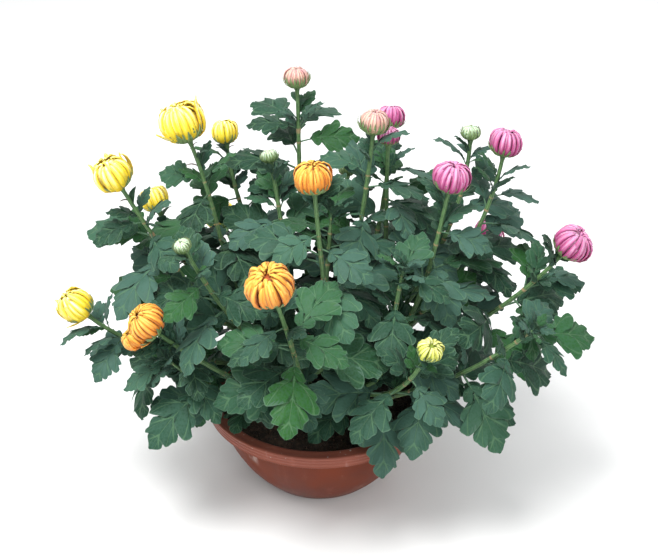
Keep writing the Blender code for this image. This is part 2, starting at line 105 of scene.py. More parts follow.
def mixed(tree, share, *colours):
    first, second = [(*colour, 1.0) if isinstance(colour, tuple) else colour for colour in colours]
    inputs = {0: share, 6: first, 7: second}
    return added(tree, "ShaderNodeMix", inputs, data_type="RGBA").outputs[2]


# colours laid one over the other, each where its value passes from low to high
def laid(tree, body, colours, rows):
    for value, low, high, *share, colour in rows:
        body = mixed(tree, between(tree, value, low, high, *share), body, colours[colour])
    return body


def combined(tree, x, y, z=0.0):
    return added(tree, "ShaderNodeCombineXYZ", {0: x, 1: y, 2: z}).outputs[0]


def carried(tree, name):
    return added(tree, "ShaderNodeAttribute", {}, attribute_name=name).outputs["Fac"]


def objectPoint(tree, stretch=(1.0, 1.0, 1.0)):
    place = tree.nodes.new("ShaderNodeTexCoord").outputs["Object"]
    return added(tree, "ShaderNodeMapping", {"Vector": place, "Scale": stretch}).outputs[0]


def cloud(tree, where, scale, detail=3.0, roughness=0.55):
    inputs = {"Vector": where, "Scale": scale, "Detail": detail, "Roughness": roughness}
    return added(tree, "ShaderNodeTexNoise", inputs).outputs[0]


def cells(tree, where, scale):
    return added(tree, "ShaderNodeTexVoronoi", {"Vector": where, "Scale": scale}).outputs["Distance"]


def raised(tree, height, distance, strength, under=None):
    inputs = {"Strength": strength, "Distance": distance, "Height": height}
    if under:
        inputs["Normal"] = under
    return added(tree, "ShaderNodeBump", inputs).outputs[0]


def newFinish(name):
    finish = bpy.data.materials.new(name)
    finish.use_nodes = True
    return finish, finish.node_tree


def dressed(finish, looks):
    tree = finish.node_tree
    for name, value in looks.items():
        put(tree, tree.nodes["Principled BSDF"].inputs[name], value)
    return finish


leafColours = {
    "deep": (0.006, 0.027, 0.011),
    "mid": (0.016, 0.060, 0.030),
    "bloomAndSkyReflection": (0.058, 0.128, 0.100),    # bluish tone: partly the leaves' own waxy bloom, partly painted sky reflection on the upper leaves
    "fresh": (0.022, 0.105, 0.014),
    "vein": (0.100, 0.200, 0.100),
    "margin": (0.095, 0.175, 0.115),
    "yellowed": (0.240, 0.270, 0.020),
    "under": (0.060, 0.118, 0.082),
}


# the pattern of veins: 1 on a vein, 0 between them
def veinPattern(tree):
    out = carried(tree, "veinOut")
    phase = maths(tree, "FRACT", carried(tree, "veinPhase"))
    apart = maths(tree, "ABSOLUTE", maths(tree, "SUBTRACT", phase, 0.5))
    width = between(tree, out, 0.0, 1.0, 0.060, 0.020)
    side = between(tree, maths(tree, "DIVIDE", apart, width), 0.3, 1.0, 1.0, 0.0)
    side = times(tree, side, between(tree, out, 0.55, 1.0, 0.9, 0.35))
    forked = maths(tree, "MAXIMUM", maths(tree, "SUBTRACT", out, 0.32), 0.0)
    branch = maths(tree, "ABSOLUTE", maths(tree, "SUBTRACT", apart, times(tree, forked, 0.36)))
    branch = between(tree, branch, 0.008, 0.030, 0.7, 0.0)
    branch = times(tree, branch, between(tree, out, 0.30, 0.40))
    middle = between(tree, out, 0.015, 0.050, 1.0, 0.0)
    return maths(tree, "MAXIMUM", middle, maths(tree, "MAXIMUM", side, branch))


def leafFinish(name, colours, under):
    finish, tree = newFinish(name)
    where = objectPoint(tree)
    tint = carried(tree, "leafTint")
    veins = veinPattern(tree)
    patches = cloud(tree, where, 55.0, 4.0)
    shade = plus(tree, times(tree, tint, 0.75), times(tree, patches, 0.45))
    lot = maths(tree, "FRACT", times(tree, tint, 7.3))
    turning = plus(tree, carried(tree, "leafAge"), times(tree, patches, 0.4))
    # deep, mid and bluish colours by a random tone per leaf; the bluish one is partly painted sky reflection
    body = laid(tree, colours["deep"], colours, [
        (shade, 0.12, 0.62, "mid"),
        (shade, 0.45, 1.10, "bloomAndSkyReflection"),
        (lot, 0.60, 0.95, 0.0, 0.8, "fresh"),
    ])
    if under:
        body = mixed(tree, 0.65, body, colours["under"])
    # small spots of the bluish colour, partly painted reflection, then yellowing with age
    body = laid(tree, body, colours, [
        (cells(tree, where, 420.0), 0.15, 0.75, 0.0, 0.22, "bloomAndSkyReflection"),
        (turning, 0.55, 1.15, "yellowed"),
    ])
    body = mixed(tree, times(tree, veins, 0.52), body, colours["vein"])
    body = laid(tree, body, colours, [(carried(tree, "veinOut"), 0.955, 0.995, 0.0, 0.65, "margin")])
    quilt = raised(tree, cloud(tree, where, 190.0), 0.0010, 0.8)
    return dressed(finish, {
        "Base Color": body,
        "Roughness": between(tree, patches, 0.25, 0.75, 0.50, 0.72),
        "Normal": raised(tree, veins, 0.0005 if under else -0.0005, 0.9, quilt),
        "Specular IOR Level": 0.18, "Sheen Weight": 0.04, "Sheen Roughness": 0.5,
    })


stemColours = {
    "green": (0.095, 0.195, 0.065),
    "shade": (0.045, 0.110, 0.040),
    "rib": (0.190, 0.300, 0.135),
    "scar": (0.380, 0.250, 0.140),
    "woody": (0.130, 0.090, 0.045),
}


# on a stem the carried values hold its rib, its height and the scar round each leaf's foot
def stemFinish(colours):
    finish, tree = newFinish("stemSkin")
    flecks = cloud(tree, objectPoint(tree), 240.0)
    scar = plus(tree, carried(tree, "leafAge"), times(tree, flecks, 0.3))
    hairs = cloud(tree, objectPoint(tree, (1.0, 1.0, 0.25)), 900.0, 2.0)
    return dressed(finish, {
        "Base Color": laid(tree, colours["shade"], colours, [
            (flecks, 0.3, 0.7, "green"),
            (carried(tree, "veinPhase"), 0.35, 1.0, 0.0, 0.55, "rib"),
            (carried(tree, "veinOut"), 0.10, 0.15, 0.75, 0.0, "woody"),
            (scar, 0.55, 0.95, "scar"),
        ]),
        "Roughness": between(tree, flecks, 0.3, 0.7, 0.42, 0.60),
        "Normal": raised(tree, hairs, 0.0004, 0.6),
        "Specular IOR Level": 0.40,
    })


driedColours = {"dark": (0.045, 0.022, 0.014), "light": (0.150, 0.075, 0.040)}


def driedFinish(colours):
    finish, tree = newFinish("driedBract")
    wrinkle = cloud(tree, objectPoint(tree), 600.0, 4.0)
    return dressed(finish, {
        "Base Color": laid(tree, colours["dark"], colours, [(wrinkle, 0.35, 0.65, "light")]),
        "Roughness": between(tree, wrinkle, 0.3, 0.7, 0.65, 0.85),
        "Normal": raised(tree, wrinkle, 0.0006, 0.8),
    })


# base, body, tip and painted highlight of each kind of petal, and the colour at its edges and in the grooves
# between petals, partly the petal's own deeper tone and partly painted shade
petalColours = {
    "yellow": {
        "base": (0.74, 0.46, 0.010), "body": (0.92, 0.70, 0.014),
        "tip": (0.94, 0.82, 0.12), "light": (0.96, 0.94, 0.62), "edgeToneAndShade": (0.52, 0.32, 0.010),
    },
    "orange": {
        "base": (0.54, 0.125, 0.008), "body": (0.76, 0.240, 0.012),
        "tip": (0.88, 0.48, 0.05), "light": (0.93, 0.60, 0.14), "edgeToneAndShade": (0.20, 0.026, 0.007),
    },
    "pink": {
        "base": (0.30, 0.022, 0.120), "body": (0.45, 0.066, 0.220),
        "tip": (0.66, 0.22, 0.43), "light": (0.80, 0.48, 0.65), "edgeToneAndShade": (0.20, 0.010, 0.075),
    },
    "cream": {
        "base": (0.36, 0.34, 0.15), "body": (0.58, 0.30, 0.25),
        "tip": (0.60, 0.26, 0.29), "light": (0.78, 0.62, 0.48), "edgeToneAndShade": (0.22, 0.06, 0.07),
    },
    "green": {
        "base": (0.20, 0.33, 0.14), "body": (0.38, 0.52, 0.30),
        "tip": (0.58, 0.70, 0.46), "light": (0.78, 0.84, 0.66), "edgeToneAndShade": (0.07, 0.15, 0.06),
    },
    "lemon": {
        "base": (0.15, 0.24, 0.03), "body": (0.60, 0.62, 0.05),
        "tip": (0.82, 0.78, 0.20), "light": (0.90, 0.88, 0.50), "edgeToneAndShade": (0.22, 0.26, 0.02),
    },
}


def petalFinish(kind, colours):
    finish, tree = newFinish("petal" + kind.capitalize())
    along = carried(tree, "petalAlong")
    across = carried(tree, "petalSide")
    tint = carried(tree, "petalTint")
    fromMiddle = maths(tree, "ABSOLUTE", across)
    lane = plus(tree, times(tree, across, 2.6), times(tree, tint, 37.0))
    streaks = cloud(tree, combined(tree, lane, times(tree, along, 0.8)), 2.2)
    patches = cloud(tree, objectPoint(tree), 130.0, 2.0)
    reach = plus(tree, along, times(tree, maths(tree, "SUBTRACT", streaks, 0.5), 0.5))
    body = laid(tree, colours["base"], colours, [
        (reach, 0.12, 0.48, "body"),
        (reach, 0.50, 0.92, "tip"),
    ])
    # painted highlight: the light colour laid along the middle of each petal, towards its tip
    highlightMask = times(tree, between(tree, fromMiddle, 0.05, 0.75, 1.0, 0.0), between(tree, reach, 0.30, 0.75))
    lit = plus(tree, streaks, times(tree, tint, 0.3))
    highlightMask = times(tree, highlightMask, between(tree, lit, 0.40, 0.85))
    body = mixed(tree, highlightMask, body, colours["light"])
    return dressed(finish, {
        "Base Color": laid(tree, body, colours, [
            # along each petal's edges: painted shade between petals, with some of the petal's own deeper tone
            (fromMiddle, 0.62, 1.0, 0.0, 0.70, "edgeToneAndShade"),
            (patches, 0.30, 0.75, 0.0, 0.22, "base"),
        ]),
        "Roughness": between(tree, streaks, 0.3, 0.7, 0.42, 0.58),
        "Normal": raised(tree, streaks, 0.0005, 0.7),
        "Specular IOR Level": 0.35, "Sheen Weight": 0.10,
        "Subsurface Weight": 0.15, "Subsurface Radius": (0.004, 0.002, 0.001), "Subsurface Scale": 0.5,
    })


bractColours = {
    "body": (0.110, 0.200, 0.055),
    "pale": (0.300, 0.400, 0.190),
    "tip": (0.060, 0.060, 0.028),
}


def bractFinish(colours):
    finish, tree = newFinish("bractSkin")
    fromMiddle = maths(tree, "ABSOLUTE", carried(tree, "petalSide"))
    flecks = cloud(tree, objectPoint(tree), 380.0)
    return dressed(finish, {
        "Base Color": laid(tree, colours["body"], colours, [
            (flecks, 0.3, 0.75, 0.0, 0.5, "pale"),
            (fromMiddle, 0.55, 1.0, 0.0, 0.65, "pale"),
            (carried(tree, "petalAlong"), 0.72, 1.0, 0.0, 0.70, "tip"),
        ]),
        "Roughness": between(tree, flecks, 0.3, 0.7, 0.45, 0.62),
        "Normal": raised(tree, flecks, 0.0004, 0.6),
    })


potColours = {
    "body": (0.145, 0.026, 0.008),
    "deep": (0.105, 0.018, 0.006),
    "worn": (0.300, 0.105, 0.075),
    "chalk": (0.52, 0.47, 0.43),
}


def potFinish(colours, rimFoot):
    finish, tree = newFinish("brickPlastic")
    where = objectPoint(tree)
    height = added(tree, "ShaderNodeSeparateXYZ", {0: where}).outputs["Z"]
    blotch = cloud(tree, where, 22.0, 4.0)
    runs = cloud(tree, objectPoint(tree, (1.0, 1.0, 0.12)), 85.0)
    body = laid(tree, colours["deep"], colours, [(blotch, 0.32, 0.68, "body")])
    lip = times(tree, between(tree, height, rimFoot - 0.001, rimFoot + 0.002), 0.60)
    worn = plus(tree, lip, between(tree, runs, 0.52, 0.80, 0.0, 0.25))
    body = mixed(tree, worn, body, colours["worn"])
    dusty = times(tree, between(tree, runs, 0.58, 0.74), between(tree, blotch, 0.50, 0.64))
    body = mixed(tree, times(tree, dusty, 0.40), body, colours["chalk"])
    specks = between(tree, cells(tree, where, 155.0), 0.10, 0.17, 1.0, 0.0)
    specks = times(tree, specks, between(tree, cloud(tree, where, 34.0, 2.0), 0.60, 0.66))
    body = mixed(tree, times(tree, specks, 0.85), body, colours["chalk"])
    rough = between(tree, blotch, 0.3, 0.7, 0.34, 0.48)
    return dressed(finish, {
        "Base Color": body,
        "Roughness": plus(tree, rough, times(tree, dusty, 0.25)),
        "Normal": raised(tree, cloud(tree, where, 700.0, 2.0), 0.0002, 0.35),
        "Specular IOR Level": 0.15,
    })


soilColours = {
    "wet": (0.014, 0.009, 0.006),
    "dry": (0.062, 0.038, 0.024),
    "bark": (0.210, 0.115, 0.060),
}


def soilFinish(name, colours, barkPart):
    finish, tree = newFinish(name)
    where = objectPoint(tree)
    lumps = cloud(tree, where, 160.0, 5.0, 0.7)
    return dressed(finish, {
        "Base Color": laid(tree, colours["wet"], colours, [
            (lumps, 0.35, 0.70, "dry"),
            (cells(tree, where, 300.0), 0.0, 0.35, barkPart, 0.0, "bark"),
        ]),
        "Roughness": between(tree, lumps, 0.3, 0.7, 0.80, 0.95),
        "Normal": raised(tree, lumps, 0.0015, 0.9),
    })


# the stems' and leaves' finishes, and their places in a shoot's slots
plantSkins = [
    stemFinish(stemColours),
    leafFinish("leafTop", leafColours, False),
    leafFinish("leafUnder", leafColours, True),
    driedFinish(driedColours),
]
stemSlot = 0
leafSlots = (1, 2)
driedSlots = (3, 3)
bractSkin = bractFinish(bractColours)
petalSkins = {kind: petalFinish(kind, colours) for kind, colours in petalColours.items()}
print("finishes made")


# how the plant grows: the same rules and numbers as the CAD model's
potSize = {
    "height": 0.100, "rimRadius": 0.120, "rimInner": 0.107,
    "bandHeight": 0.0135, "bandTaper": 0.0015, "wall": 0.0025,
    "footRadius": 0.055, "floorThick": 0.003, "roundness": 1.4,
    "soilEdge": 0.084, "soilMiddle": 0.089, "gap": 0.0003,
}

growth = {
    "samples": 32, "forkAngle": 0.45, "forkGap": 0.0004,
    "stemRadius": 0.0027, "neckRadius": 0.0020, "rootDepth": 0.028,
    "leafLength": 0.090, "leafHalf": 0.31, "leafFold": 0.14,
    "leafRise": 26, "leafDroop": -30, "stalkPart": 0.18, "stalkHalf": 0.0015,
    "goldenAngle": 137.5, "outwardPull": 0.72, "outwardFacing": 0.45,
    "firstLeaf": 0.045, "firstLeafy": 0.006, "forkBare": 0.018,
    "topLeaf": 0.62, "fullLeafAt": 0.050, "spacing": 0.0135, "spacingGrowth": 0.0010,
    "mostLeaves": 11, "clearance": 0.0011, "hangingLowest": 0.020,
    "stemClear": 0.002, "potClear": 0.003, "leafMiddle": 0.55, "leafReach": 0.56,
    "stalkFree": 0.3, "forkReach": 0.33, "arrival": 0.25, "rootCollar": 0.003,
    "headSeat": 0.47, "hullSlope": 2.2, "hullEndSlope": 3.2, "hullEnd": 1.02, "hullSpare": 0.02,
}
curveSteps = [i / growth["samples"] for i in range(growth["samples"] + 1)]
leafRolls = [0, 16, -12, 24, -20, 8, -26, 20]       # degrees, taken in turn
# bearing of a leaf's root, from and to, and how low the leaf may hang
lowLimits = [(0, 180, 0.088), (180, 262, 0.118), (262, 360, 0.088)]
bushHeart = Vector((0.0, 0.0, 0.03))
toLight = Vector((0.0, -0.50, 0.86))
# place along the leaf and width, of the CAD leaf's simple blade
bladeRows = [(0.0, 0.0), (growth["stalkPart"], 0.0), (0.52, 1.0), (0.80, 0.70)]
# turn, lift and size, tried one after another until a leaf clears its neighbours
leafShifts = [
    (0, 0, 1.0), (15, 8, 1.0), (-15, 8, 1.0), (0, 22, 1.0), (0, -20, 1.0), (28, 0, 0.95),
    (-28, 0, 0.95), (20, 30, 0.9), (-20, 30, 0.9), (45, 12, 0.85), (-45, 12, 0.85),
    (0, 42, 0.8), (65, 0, 0.8), (-65, 0, 0.8), (0, -35, 0.8), (30, 35, 0.65), (-30, 35, 0.65),
    (90, 10, 0.6), (-90, 10, 0.6), (0, 0, 0.5),
]

# name, foot on the soil, top, radius
mainStems = [
    ("yellow", (-0.042, 0.015), (-0.050, 0.018, 0.172), 0.0045),
    ("orange", (-0.012, -0.040), (-0.014, -0.046, 0.166), 0.0045),
    ("pink", (0.050, 0.010), (0.057, 0.012, 0.176), 0.0045),
    ("back", (0.000, 0.050), (0.000, 0.058, 0.180), 0.0045),
    ("front", (0.040, -0.046), (0.043, -0.052, 0.150), 0.0040),
]

# name, main stem, fork height, centre of head, point it rises through, head diameter, first turn
shoots = [
    ("yellow_1", "yellow", 0.158, (-0.134, 0.040, 0.387), (-0.102, 0.030, 0.301), 0.043, 150),
    ("yellow_2", "back", 0.148, (-0.097, 0.100, 0.351), (-0.091, 0.085, 0.291), 0.027, 100),
    ("yellow_3", "yellow", 0.140, (-0.195, -0.020, 0.360), (-0.161, -0.010, 0.283), 0.036, 200),
    ("yellow_4", "yellow", 0.127, (-0.169, 0.060, 0.294), (-0.150, 0.045, 0.242), 0.028, 120),
    ("yellow_5", "yellow", 0.113, (-0.239, -0.040, 0.228), (-0.195, -0.035, 0.175), 0.035, 250),
    ("yellow_6", "yellow", 0.119, (-0.115, 0.205, 0.200), (-0.090, 0.160, 0.160), 0.034, 60),
    ("orange_1", "orange", 0.150, (-0.005, -0.050, 0.371), (0.003, -0.050, 0.255), 0.035, 200),
    ("orange_2", "orange", 0.130, (-0.042, -0.160, 0.320), (-0.020, -0.120, 0.217), 0.042, 215),
    ("orange_3", "orange", 0.113, (-0.166, -0.100, 0.244), (-0.105, -0.075, 0.173), 0.040, 300),
    ("orange_4", "back", 0.115, (0.000, 0.225, 0.215), (0.000, 0.175, 0.170), 0.036, 30),
    ("pink_1", "back", 0.164, (-0.023, 0.100, 0.411), (-0.020, 0.095, 0.332), 0.026, 190),
    ("pink_2", "pink", 0.158, (0.053, 0.020, 0.397), (0.044, 0.020, 0.289), 0.029, 200),
    ("pink_3", "back", 0.155, (0.072, 0.080, 0.377), (0.069, 0.060, 0.303), 0.028, 330),
    ("pink_4", "pink", 0.150, (0.068, 0.045, 0.371), (0.066, 0.042, 0.310), 0.022, 110),
    ("pink_5", "pink", 0.140, (0.184, 0.050, 0.363), (0.174, 0.040, 0.285), 0.034, 10),
    ("pink_6", "pink", 0.148, (0.126, -0.020, 0.358), (0.112, -0.020, 0.272), 0.036, 340),
    ("pink_7", "pink", 0.120, (0.241, -0.050, 0.303), (0.198, -0.030, 0.227), 0.037, 350),
    ("pink_8", "back", 0.126, (0.110, 0.215, 0.200), (0.085, 0.165, 0.165), 0.036, 20),
    ("pink_9", "pink", 0.113, (0.190, 0.165, 0.200), (0.150, 0.125, 0.160), 0.034, 75),
    ("green_1", "orange", 0.144, (-0.050, 0.040, 0.352), (-0.037, 0.030, 0.290), 0.018, 110),
    ("green_2", "yellow", 0.152, (-0.125, -0.090, 0.321), (-0.096, -0.075, 0.248), 0.017, 230),
    ("green_3", "pink", 0.162, (0.150, 0.060, 0.369), (0.150, 0.055, 0.305), 0.020, 60),
    ("green_4", "back", 0.137, (0.030, 0.195, 0.265), (0.028, 0.155, 0.210), 0.019, 80),
    ("lemon_1", "front", 0.132, (0.101, -0.150, 0.247), (0.084, -0.125, 0.185), 0.023, 300),
    ("leafy_1", "front", 0.117, (0.200, -0.100, 0.235), (0.150, -0.085, 0.175), 0.0, 320),
    ("leafy_2", "orange", 0.104, (-0.145, -0.090, 0.195), (-0.100, -0.080, 0.145), 0.0, 200),
    ("leafy_3", "back", 0.105, (-0.170, 0.160, 0.185), (-0.115, 0.120, 0.150), 0.0, 130),
    ("leafy_4", "front", 0.141, (0.080, -0.055, 0.275), (0.070, -0.060, 0.215), 0.0, 330),
    ("leafy_5", "orange", 0.138, (0.012, 0.015, 0.300), (0.006, -0.010, 0.230), 0.0, 80),
]

# stem, distance back from its end, heading, lift, size
setLeaves = [
    ("shoot_yellow_1", 0.072, 170, -10, 0.90),
    ("shoot_yellow_3", 0.064, 160, 0, 0.90),
    ("shoot_yellow_5", 0.164, 240, 0, 0.90),
    ("shoot_orange_1", 0.068, 160, 0, 0.90),
    ("shoot_orange_2", 0.072, 60, 0, 0.90),
    ("shoot_orange_2", 0.085, 170, 0, 0.85),
    ("shoot_orange_2", 0.100, 0, -10, 1.05),
    ("shoot_orange_2", 0.110, 230, 20, 0.90),
    ("shoot_pink_1", 0.044, 130, 0, 0.85),
    ("shoot_pink_1", 0.048, 65, -10, 0.90),
    ("shoot_pink_5", 0.116, 30, 0, 0.90),
    ("shoot_pink_5", 0.140, 20, -10, 1.05),
    ("shoot_pink_6", 0.076, 120, 0, 1.00),
    ("shoot_pink_6", 0.104, 20, -35, 0.90),
    ("shoot_pink_7", 0.058, 15, 10, 0.75),
    ("shoot_pink_7", 0.124, 290, -10, 1.05),
    ("shoot_leafy_1", 0.012, 10, 0, 0.90),
    ("shoot_leafy_1", 0.104, 330, 0, 0.90),
    ("main_stem_orange", 0.040, 260, -10, 0.90),
    ("main_stem_front", 0.044, 300, -10, 0.90),
]


def mainPath(row):
    name, foot, top, radius = row
    low = Vector((foot[0], foot[1], potSize["soilMiddle"] + growth["rootCollar"]))
    high = Vector(top)
    bend = low.copy()
    bend.z = 0.5 * (low.z + high.z)
    return [low * (1 - t) ** 2 + bend * (2 * t * (1 - t)) + high * t * t for t in curveSteps]


def findMain(name):
    return next(row for row in mainStems if row[0] == name)


def shootPath(row):
    name, main, forkHeight, head, rise, size, turn = row
    path = mainPath(findMain(main))
    fork = min(path, key=lambda point: abs(point.z - forkHeight))
    centre = Vector(head)
    through = Vector(rise)
    out = Vector((through.x - fork.x, through.y - fork.y, 0.0)).normalized()
    lean = (centre - through).normalized()
    slope = growth["stemRadius"] * math.sin(growth["forkAngle"])
    start = fork + out * (findMain(main)[3] + slope + growth["forkGap"])
    reach = growth["forkReach"] * (through - start).length
    upward = Vector((0, 0, math.sin(growth["forkAngle"])))
    leave = start + (out * math.cos(growth["forkAngle"]) + upward) * reach
    seat = centre - lean * (growth["headSeat"] * size)
    arrive = through + (through - centre) * growth["arrival"]
    return [
        start * (1 - t) ** 3
        + leave * (3 * t * (1 - t) ** 2)
        + arrive * (3 * t * t * (1 - t))
        + seat * t ** 3
        for t in curveSteps
    ]


def lengthOf(path):
    return sum((b - a).length for a, b in zip(path, path[1:]))


# the point at a distance back from the end of a path
def backAlong(path, distance):
    left = distance
    for a, b in zip(reversed(path), reversed(path[:-1])):
        step = (b - a).length
        if left <= step:
            return a.lerp(b, left / step)
        left -= step
    return path[0].copy()


# a leaf is its root, way ahead, facing, pitch at root and tip, length and half width
def leafPoint(leaf, along, across):
    root, ahead, facing, rise, droop, length, half = leaf
    bend = droop - rise
    here = rise + bend * along
    forward = length * (math.sin(here) - math.sin(rise)) / bend
    up = length * (math.cos(rise) - math.cos(here)) / bend
    normal = facing * math.cos(here) - ahead * math.sin(here)
    point = root + ahead * forward + facing * up + facing.cross(ahead) * across
    return point + normal * (abs(across) * growth["leafFold"]), normal


def leafSheet(leaf, lift):
    half = leaf[6]
    points = []
    for along, width in bladeRows:
        stalk = growth["stalkHalf"]
        places = [-stalk, stalk] if width == 0.0 else [-half * width, 0.0, half * width]
        for across in places:
            point, normal = leafPoint(leaf, along, across)
            points.append(point + normal * lift)
    point, normal = leafPoint(leaf, 1.0, 0.0)
    points.append(point + normal * lift)
    faces = [(0, 1, 3, 2), (2, 5, 4), (2, 3, 5), (3, 6, 5)]
    faces += [(4, 5, 8, 7), (5, 6, 9, 8), (7, 8, 10), (8, 9, 10)]
    return points, faces


def leafTree(leaf):
    points = []
    faces = []
    for lift in (-growth["clearance"], growth["clearance"]):
        sheet, sides = leafSheet(leaf, lift)
        faces += [tuple(i + len(points) for i in side) for side in sides]
        points += sheet
    return BVHTree.FromPolygons(points, faces)


# the blade as a rough hull, a little wider than its faces
def clearOfPot(leaf, lowest):
    clear = growth["potClear"]
    inner = potSize["rimInner"] - clear
    for i in range(3, 17):
        along = i / 16
        opening = growth["hullSlope"] * (along - growth["stalkPart"] + growth["hullSpare"])
        closing = growth["hullEndSlope"] * (growth["hullEnd"] - along)
        width = leaf[6] * min(1.0, opening, closing)
        for part in (-1.0, -0.5, 0.0, 0.5, 1.0):
            point = leafPoint(leaf, along, width * part)[0]
            radius = math.hypot(point.x, point.y)
            if point.z < lowest:
                return False
            if radius <= inner and point.z < potSize["soilMiddle"] + clear:
                return False
            overRim = inner < radius < potSize["rimRadius"] + clear
            if overRim and point.z < potSize["height"] + clear:
                return False
    return True


def clearOfPlant(leaf, own, stems, heads, leaves):
    middle = leafPoint(leaf, growth["leafMiddle"], 0.0)[0]
    reach = growth["leafReach"] * leaf[5]
    tree = leafTree(leaf)
    stalk = leaf[0]
    for name, points, radius in stems:
        for point in points:
            if (point - middle).length > reach:
                continue
            if name == own and (point - stalk).length < growth["stalkFree"] * leaf[5]:
                continue
            if tree.find_nearest(point, radius + growth["stemClear"])[0] is not None:
                return False
    for centre, radius in heads:
        if (centre - middle).length > reach + radius:
            continue
        if tree.find_nearest(centre, radius + growth["stemClear"])[0] is not None:
            return False
    for otherMiddle, otherReach, other in leaves:
        if (otherMiddle - middle).length < reach + otherReach and tree.overlap(other):
            return False
    return True


def leafStations(length, first):
    stations = []
    place = first
    while place < length - growth["forkBare"] and len(stations) < growth["mostLeaves"]:
        top = growth["topLeaf"]
        size = min(1.0, top + (1.0 - top) * (place - first) / growth["fullLeafAt"])
        stations.append((place, size))
        place += growth["spacing"] + growth["spacingGrowth"] * len(stations)
    return stations


def makeLeaf(path, place, size, turn, lift, scale, roll):
    root = backAlong(path, place)
    length = growth["leafLength"] * size * scale
    heading = math.radians(turn)
    outward = (root - bushHeart).normalized()
    share = growth["outwardFacing"]
    facing = (outward * share + toLight * (1.0 - share)).normalized()
    ahead = Vector((math.cos(heading), math.sin(heading), 0.0))
    ahead = (ahead - facing * ahead.dot(facing)).normalized()
    tipped = math.radians(roll)
    facing = facing * math.cos(tipped) + facing.cross(ahead) * math.sin(tipped)
    rise = math.radians(growth["leafRise"] + lift)
    droop = math.radians(growth["leafDroop"] + lift)
    return (root, ahead, facing, rise, droop, length, growth["leafHalf"] * length)


def leafHeading(path, place, turn, rank):
    root = backAlong(path, place)
    outward = math.degrees(math.atan2(root.y, root.x))
    apart = (turn + growth["goldenAngle"] * rank - outward + 180.0) % 360.0 - 180.0
    return outward + growth["outwardPull"] * apart


def lowestAt(root):
    bearing = math.degrees(math.atan2(root.y, root.x)) % 360.0
    return next(lowest for start, end, lowest in lowLimits if start <= bearing < end)


def planStems():
    plan = []
    for row in mainStems:
        path = mainPath(row)
        outward = math.degrees(math.atan2(row[2][1], row[2][0]))
        stations = leafStations(lengthOf(path), growth["firstLeafy"])
        plan.append(("main_stem_" + row[0], path, row[3], stations, outward))
    for row in shoots:
        path = shootPath(row)
        first = growth["firstLeaf"] if row[5] > 0.0 else growth["firstLeafy"]
        stations = leafStations(lengthOf(path), first)
        plan.append(("shoot_" + row[0], path, growth["stemRadius"], stations, row[6]))
    return plan


def growPlant(plan):
    stems = [(name, path, radius) for name, path, radius, stations, turn in plan]
    heads = [(Vector(row[3]), 0.5 * row[5]) for row in shoots if row[5] > 0.0]
    paths = {name: path for name, path, radius in stems}
    grown = {name: [] for name in paths}
    placed = []

    def addLeaf(name, leaf, lowest):
        if not clearOfPot(leaf, lowest) or not clearOfPlant(leaf, name, stems, heads, placed):
            return False
        middle = leafPoint(leaf, growth["leafMiddle"], 0.0)[0]
        placed.append((middle, growth["leafReach"] * leaf[5], leafTree(leaf)))
        grown[name].append(leaf)
        return True

    for name, place, heading, lift, size in setLeaves:
        leaf = makeLeaf(paths[name], place, size, heading, lift, 1.0, 0.0)
        addLeaf(name, leaf, growth["hangingLowest"])
    for rank in range(growth["mostLeaves"]):
        for number, (name, path, radius, stations, turn) in enumerate(plan):
            if rank >= len(stations):
                continue
            place, size = stations[rank]
            heading = leafHeading(path, place, turn, rank)
            lowest = lowestAt(backAlong(path, place))
            roll = leafRolls[(rank + 3 * number) % len(leafRolls)]
            for side, lift, scale in leafShifts:
                leaf = makeLeaf(path, place, size, heading + side, lift, scale, roll)
                if addLeaf(name, leaf, lowest):
                    break
    return grown


plan = planStems()
grownLeaves = growPlant(plan)
print("plant grown,", sum(len(leaves) for leaves in grownLeaves.values()), "leaves")


# meshes gathered point by point, with the values that the finishes read
plantValues = ("veinPhase", "veinOut", "leafTint", "leafAge")
headValues = ("petalAlong", "petalSide")


def emptyShape():
    return {"points": [], "faces": [], "finishes": [], "values": []}


def addPoint(shape, place, values):
    shape["points"].append(tuple(place))
    shape["values"].append(values)
    return len(shape["points"]) - 1


def addFace(shape, corners, finish=0):
    shape["faces"].append(corners)
    shape["finishes"].append(finish)


def shapeObject(name, shape, finishes=(), valueNames=()):
    mesh = bpy.data.meshes.new(name)
    mesh.from_pydata(shape["points"], [], shape["faces"])
    mesh.polygons.foreach_set("material_index", shape["finishes"])
    for index, valueName in enumerate(valueNames):
        held = mesh.attributes.new(valueName, "FLOAT", "POINT")
        held.data.foreach_set("value", [values[index] for values in shape["values"]])
    for finish in finishes:
        mesh.materials.append(finish)
    mesh.shade_smooth()
    creased = bmesh.new()
    creased.from_mesh(mesh)
    for edge in creased.edges:
        if len({face.material_index for face in edge.link_faces}) > 1:
            edge.smooth = False
    creased.to_mesh(mesh)
    creased.free()
    item = bpy.data.objects.new(name, mesh)
    scene.collection.objects.link(item)
    return item


# a closed tube through centres, each with its own radius and two directions across it
def addTube(shape, rings, sides, ribDepth, finish):
    first = len(shape["points"])
    for centre, across, upward, radius, values in rings:
        for i in range(sides):
            angle = 2.0 * math.pi * i / sides
            rib = 1.0 - (i % 2)
            reach = radius * (1.0 - ribDepth * (1.0 - rib))
            place = centre + (across * math.cos(angle) + upward * math.sin(angle)) * reach
            addPoint(shape, place, (rib if ribDepth else values[0], *values[1:]))
    for row in range(len(rings) - 1):
        for i in range(sides):
            low = first + row * sides
            j = (i + 1) % sides
            addFace(shape, (low + i, low + j, low + sides + j, low + sides + i), finish)
    last = first + (len(rings) - 1) * sides
    addFace(shape, tuple(first + i for i in reversed(range(sides))), finish)
    addFace(shape, tuple(last + i for i in range(sides)), finish)


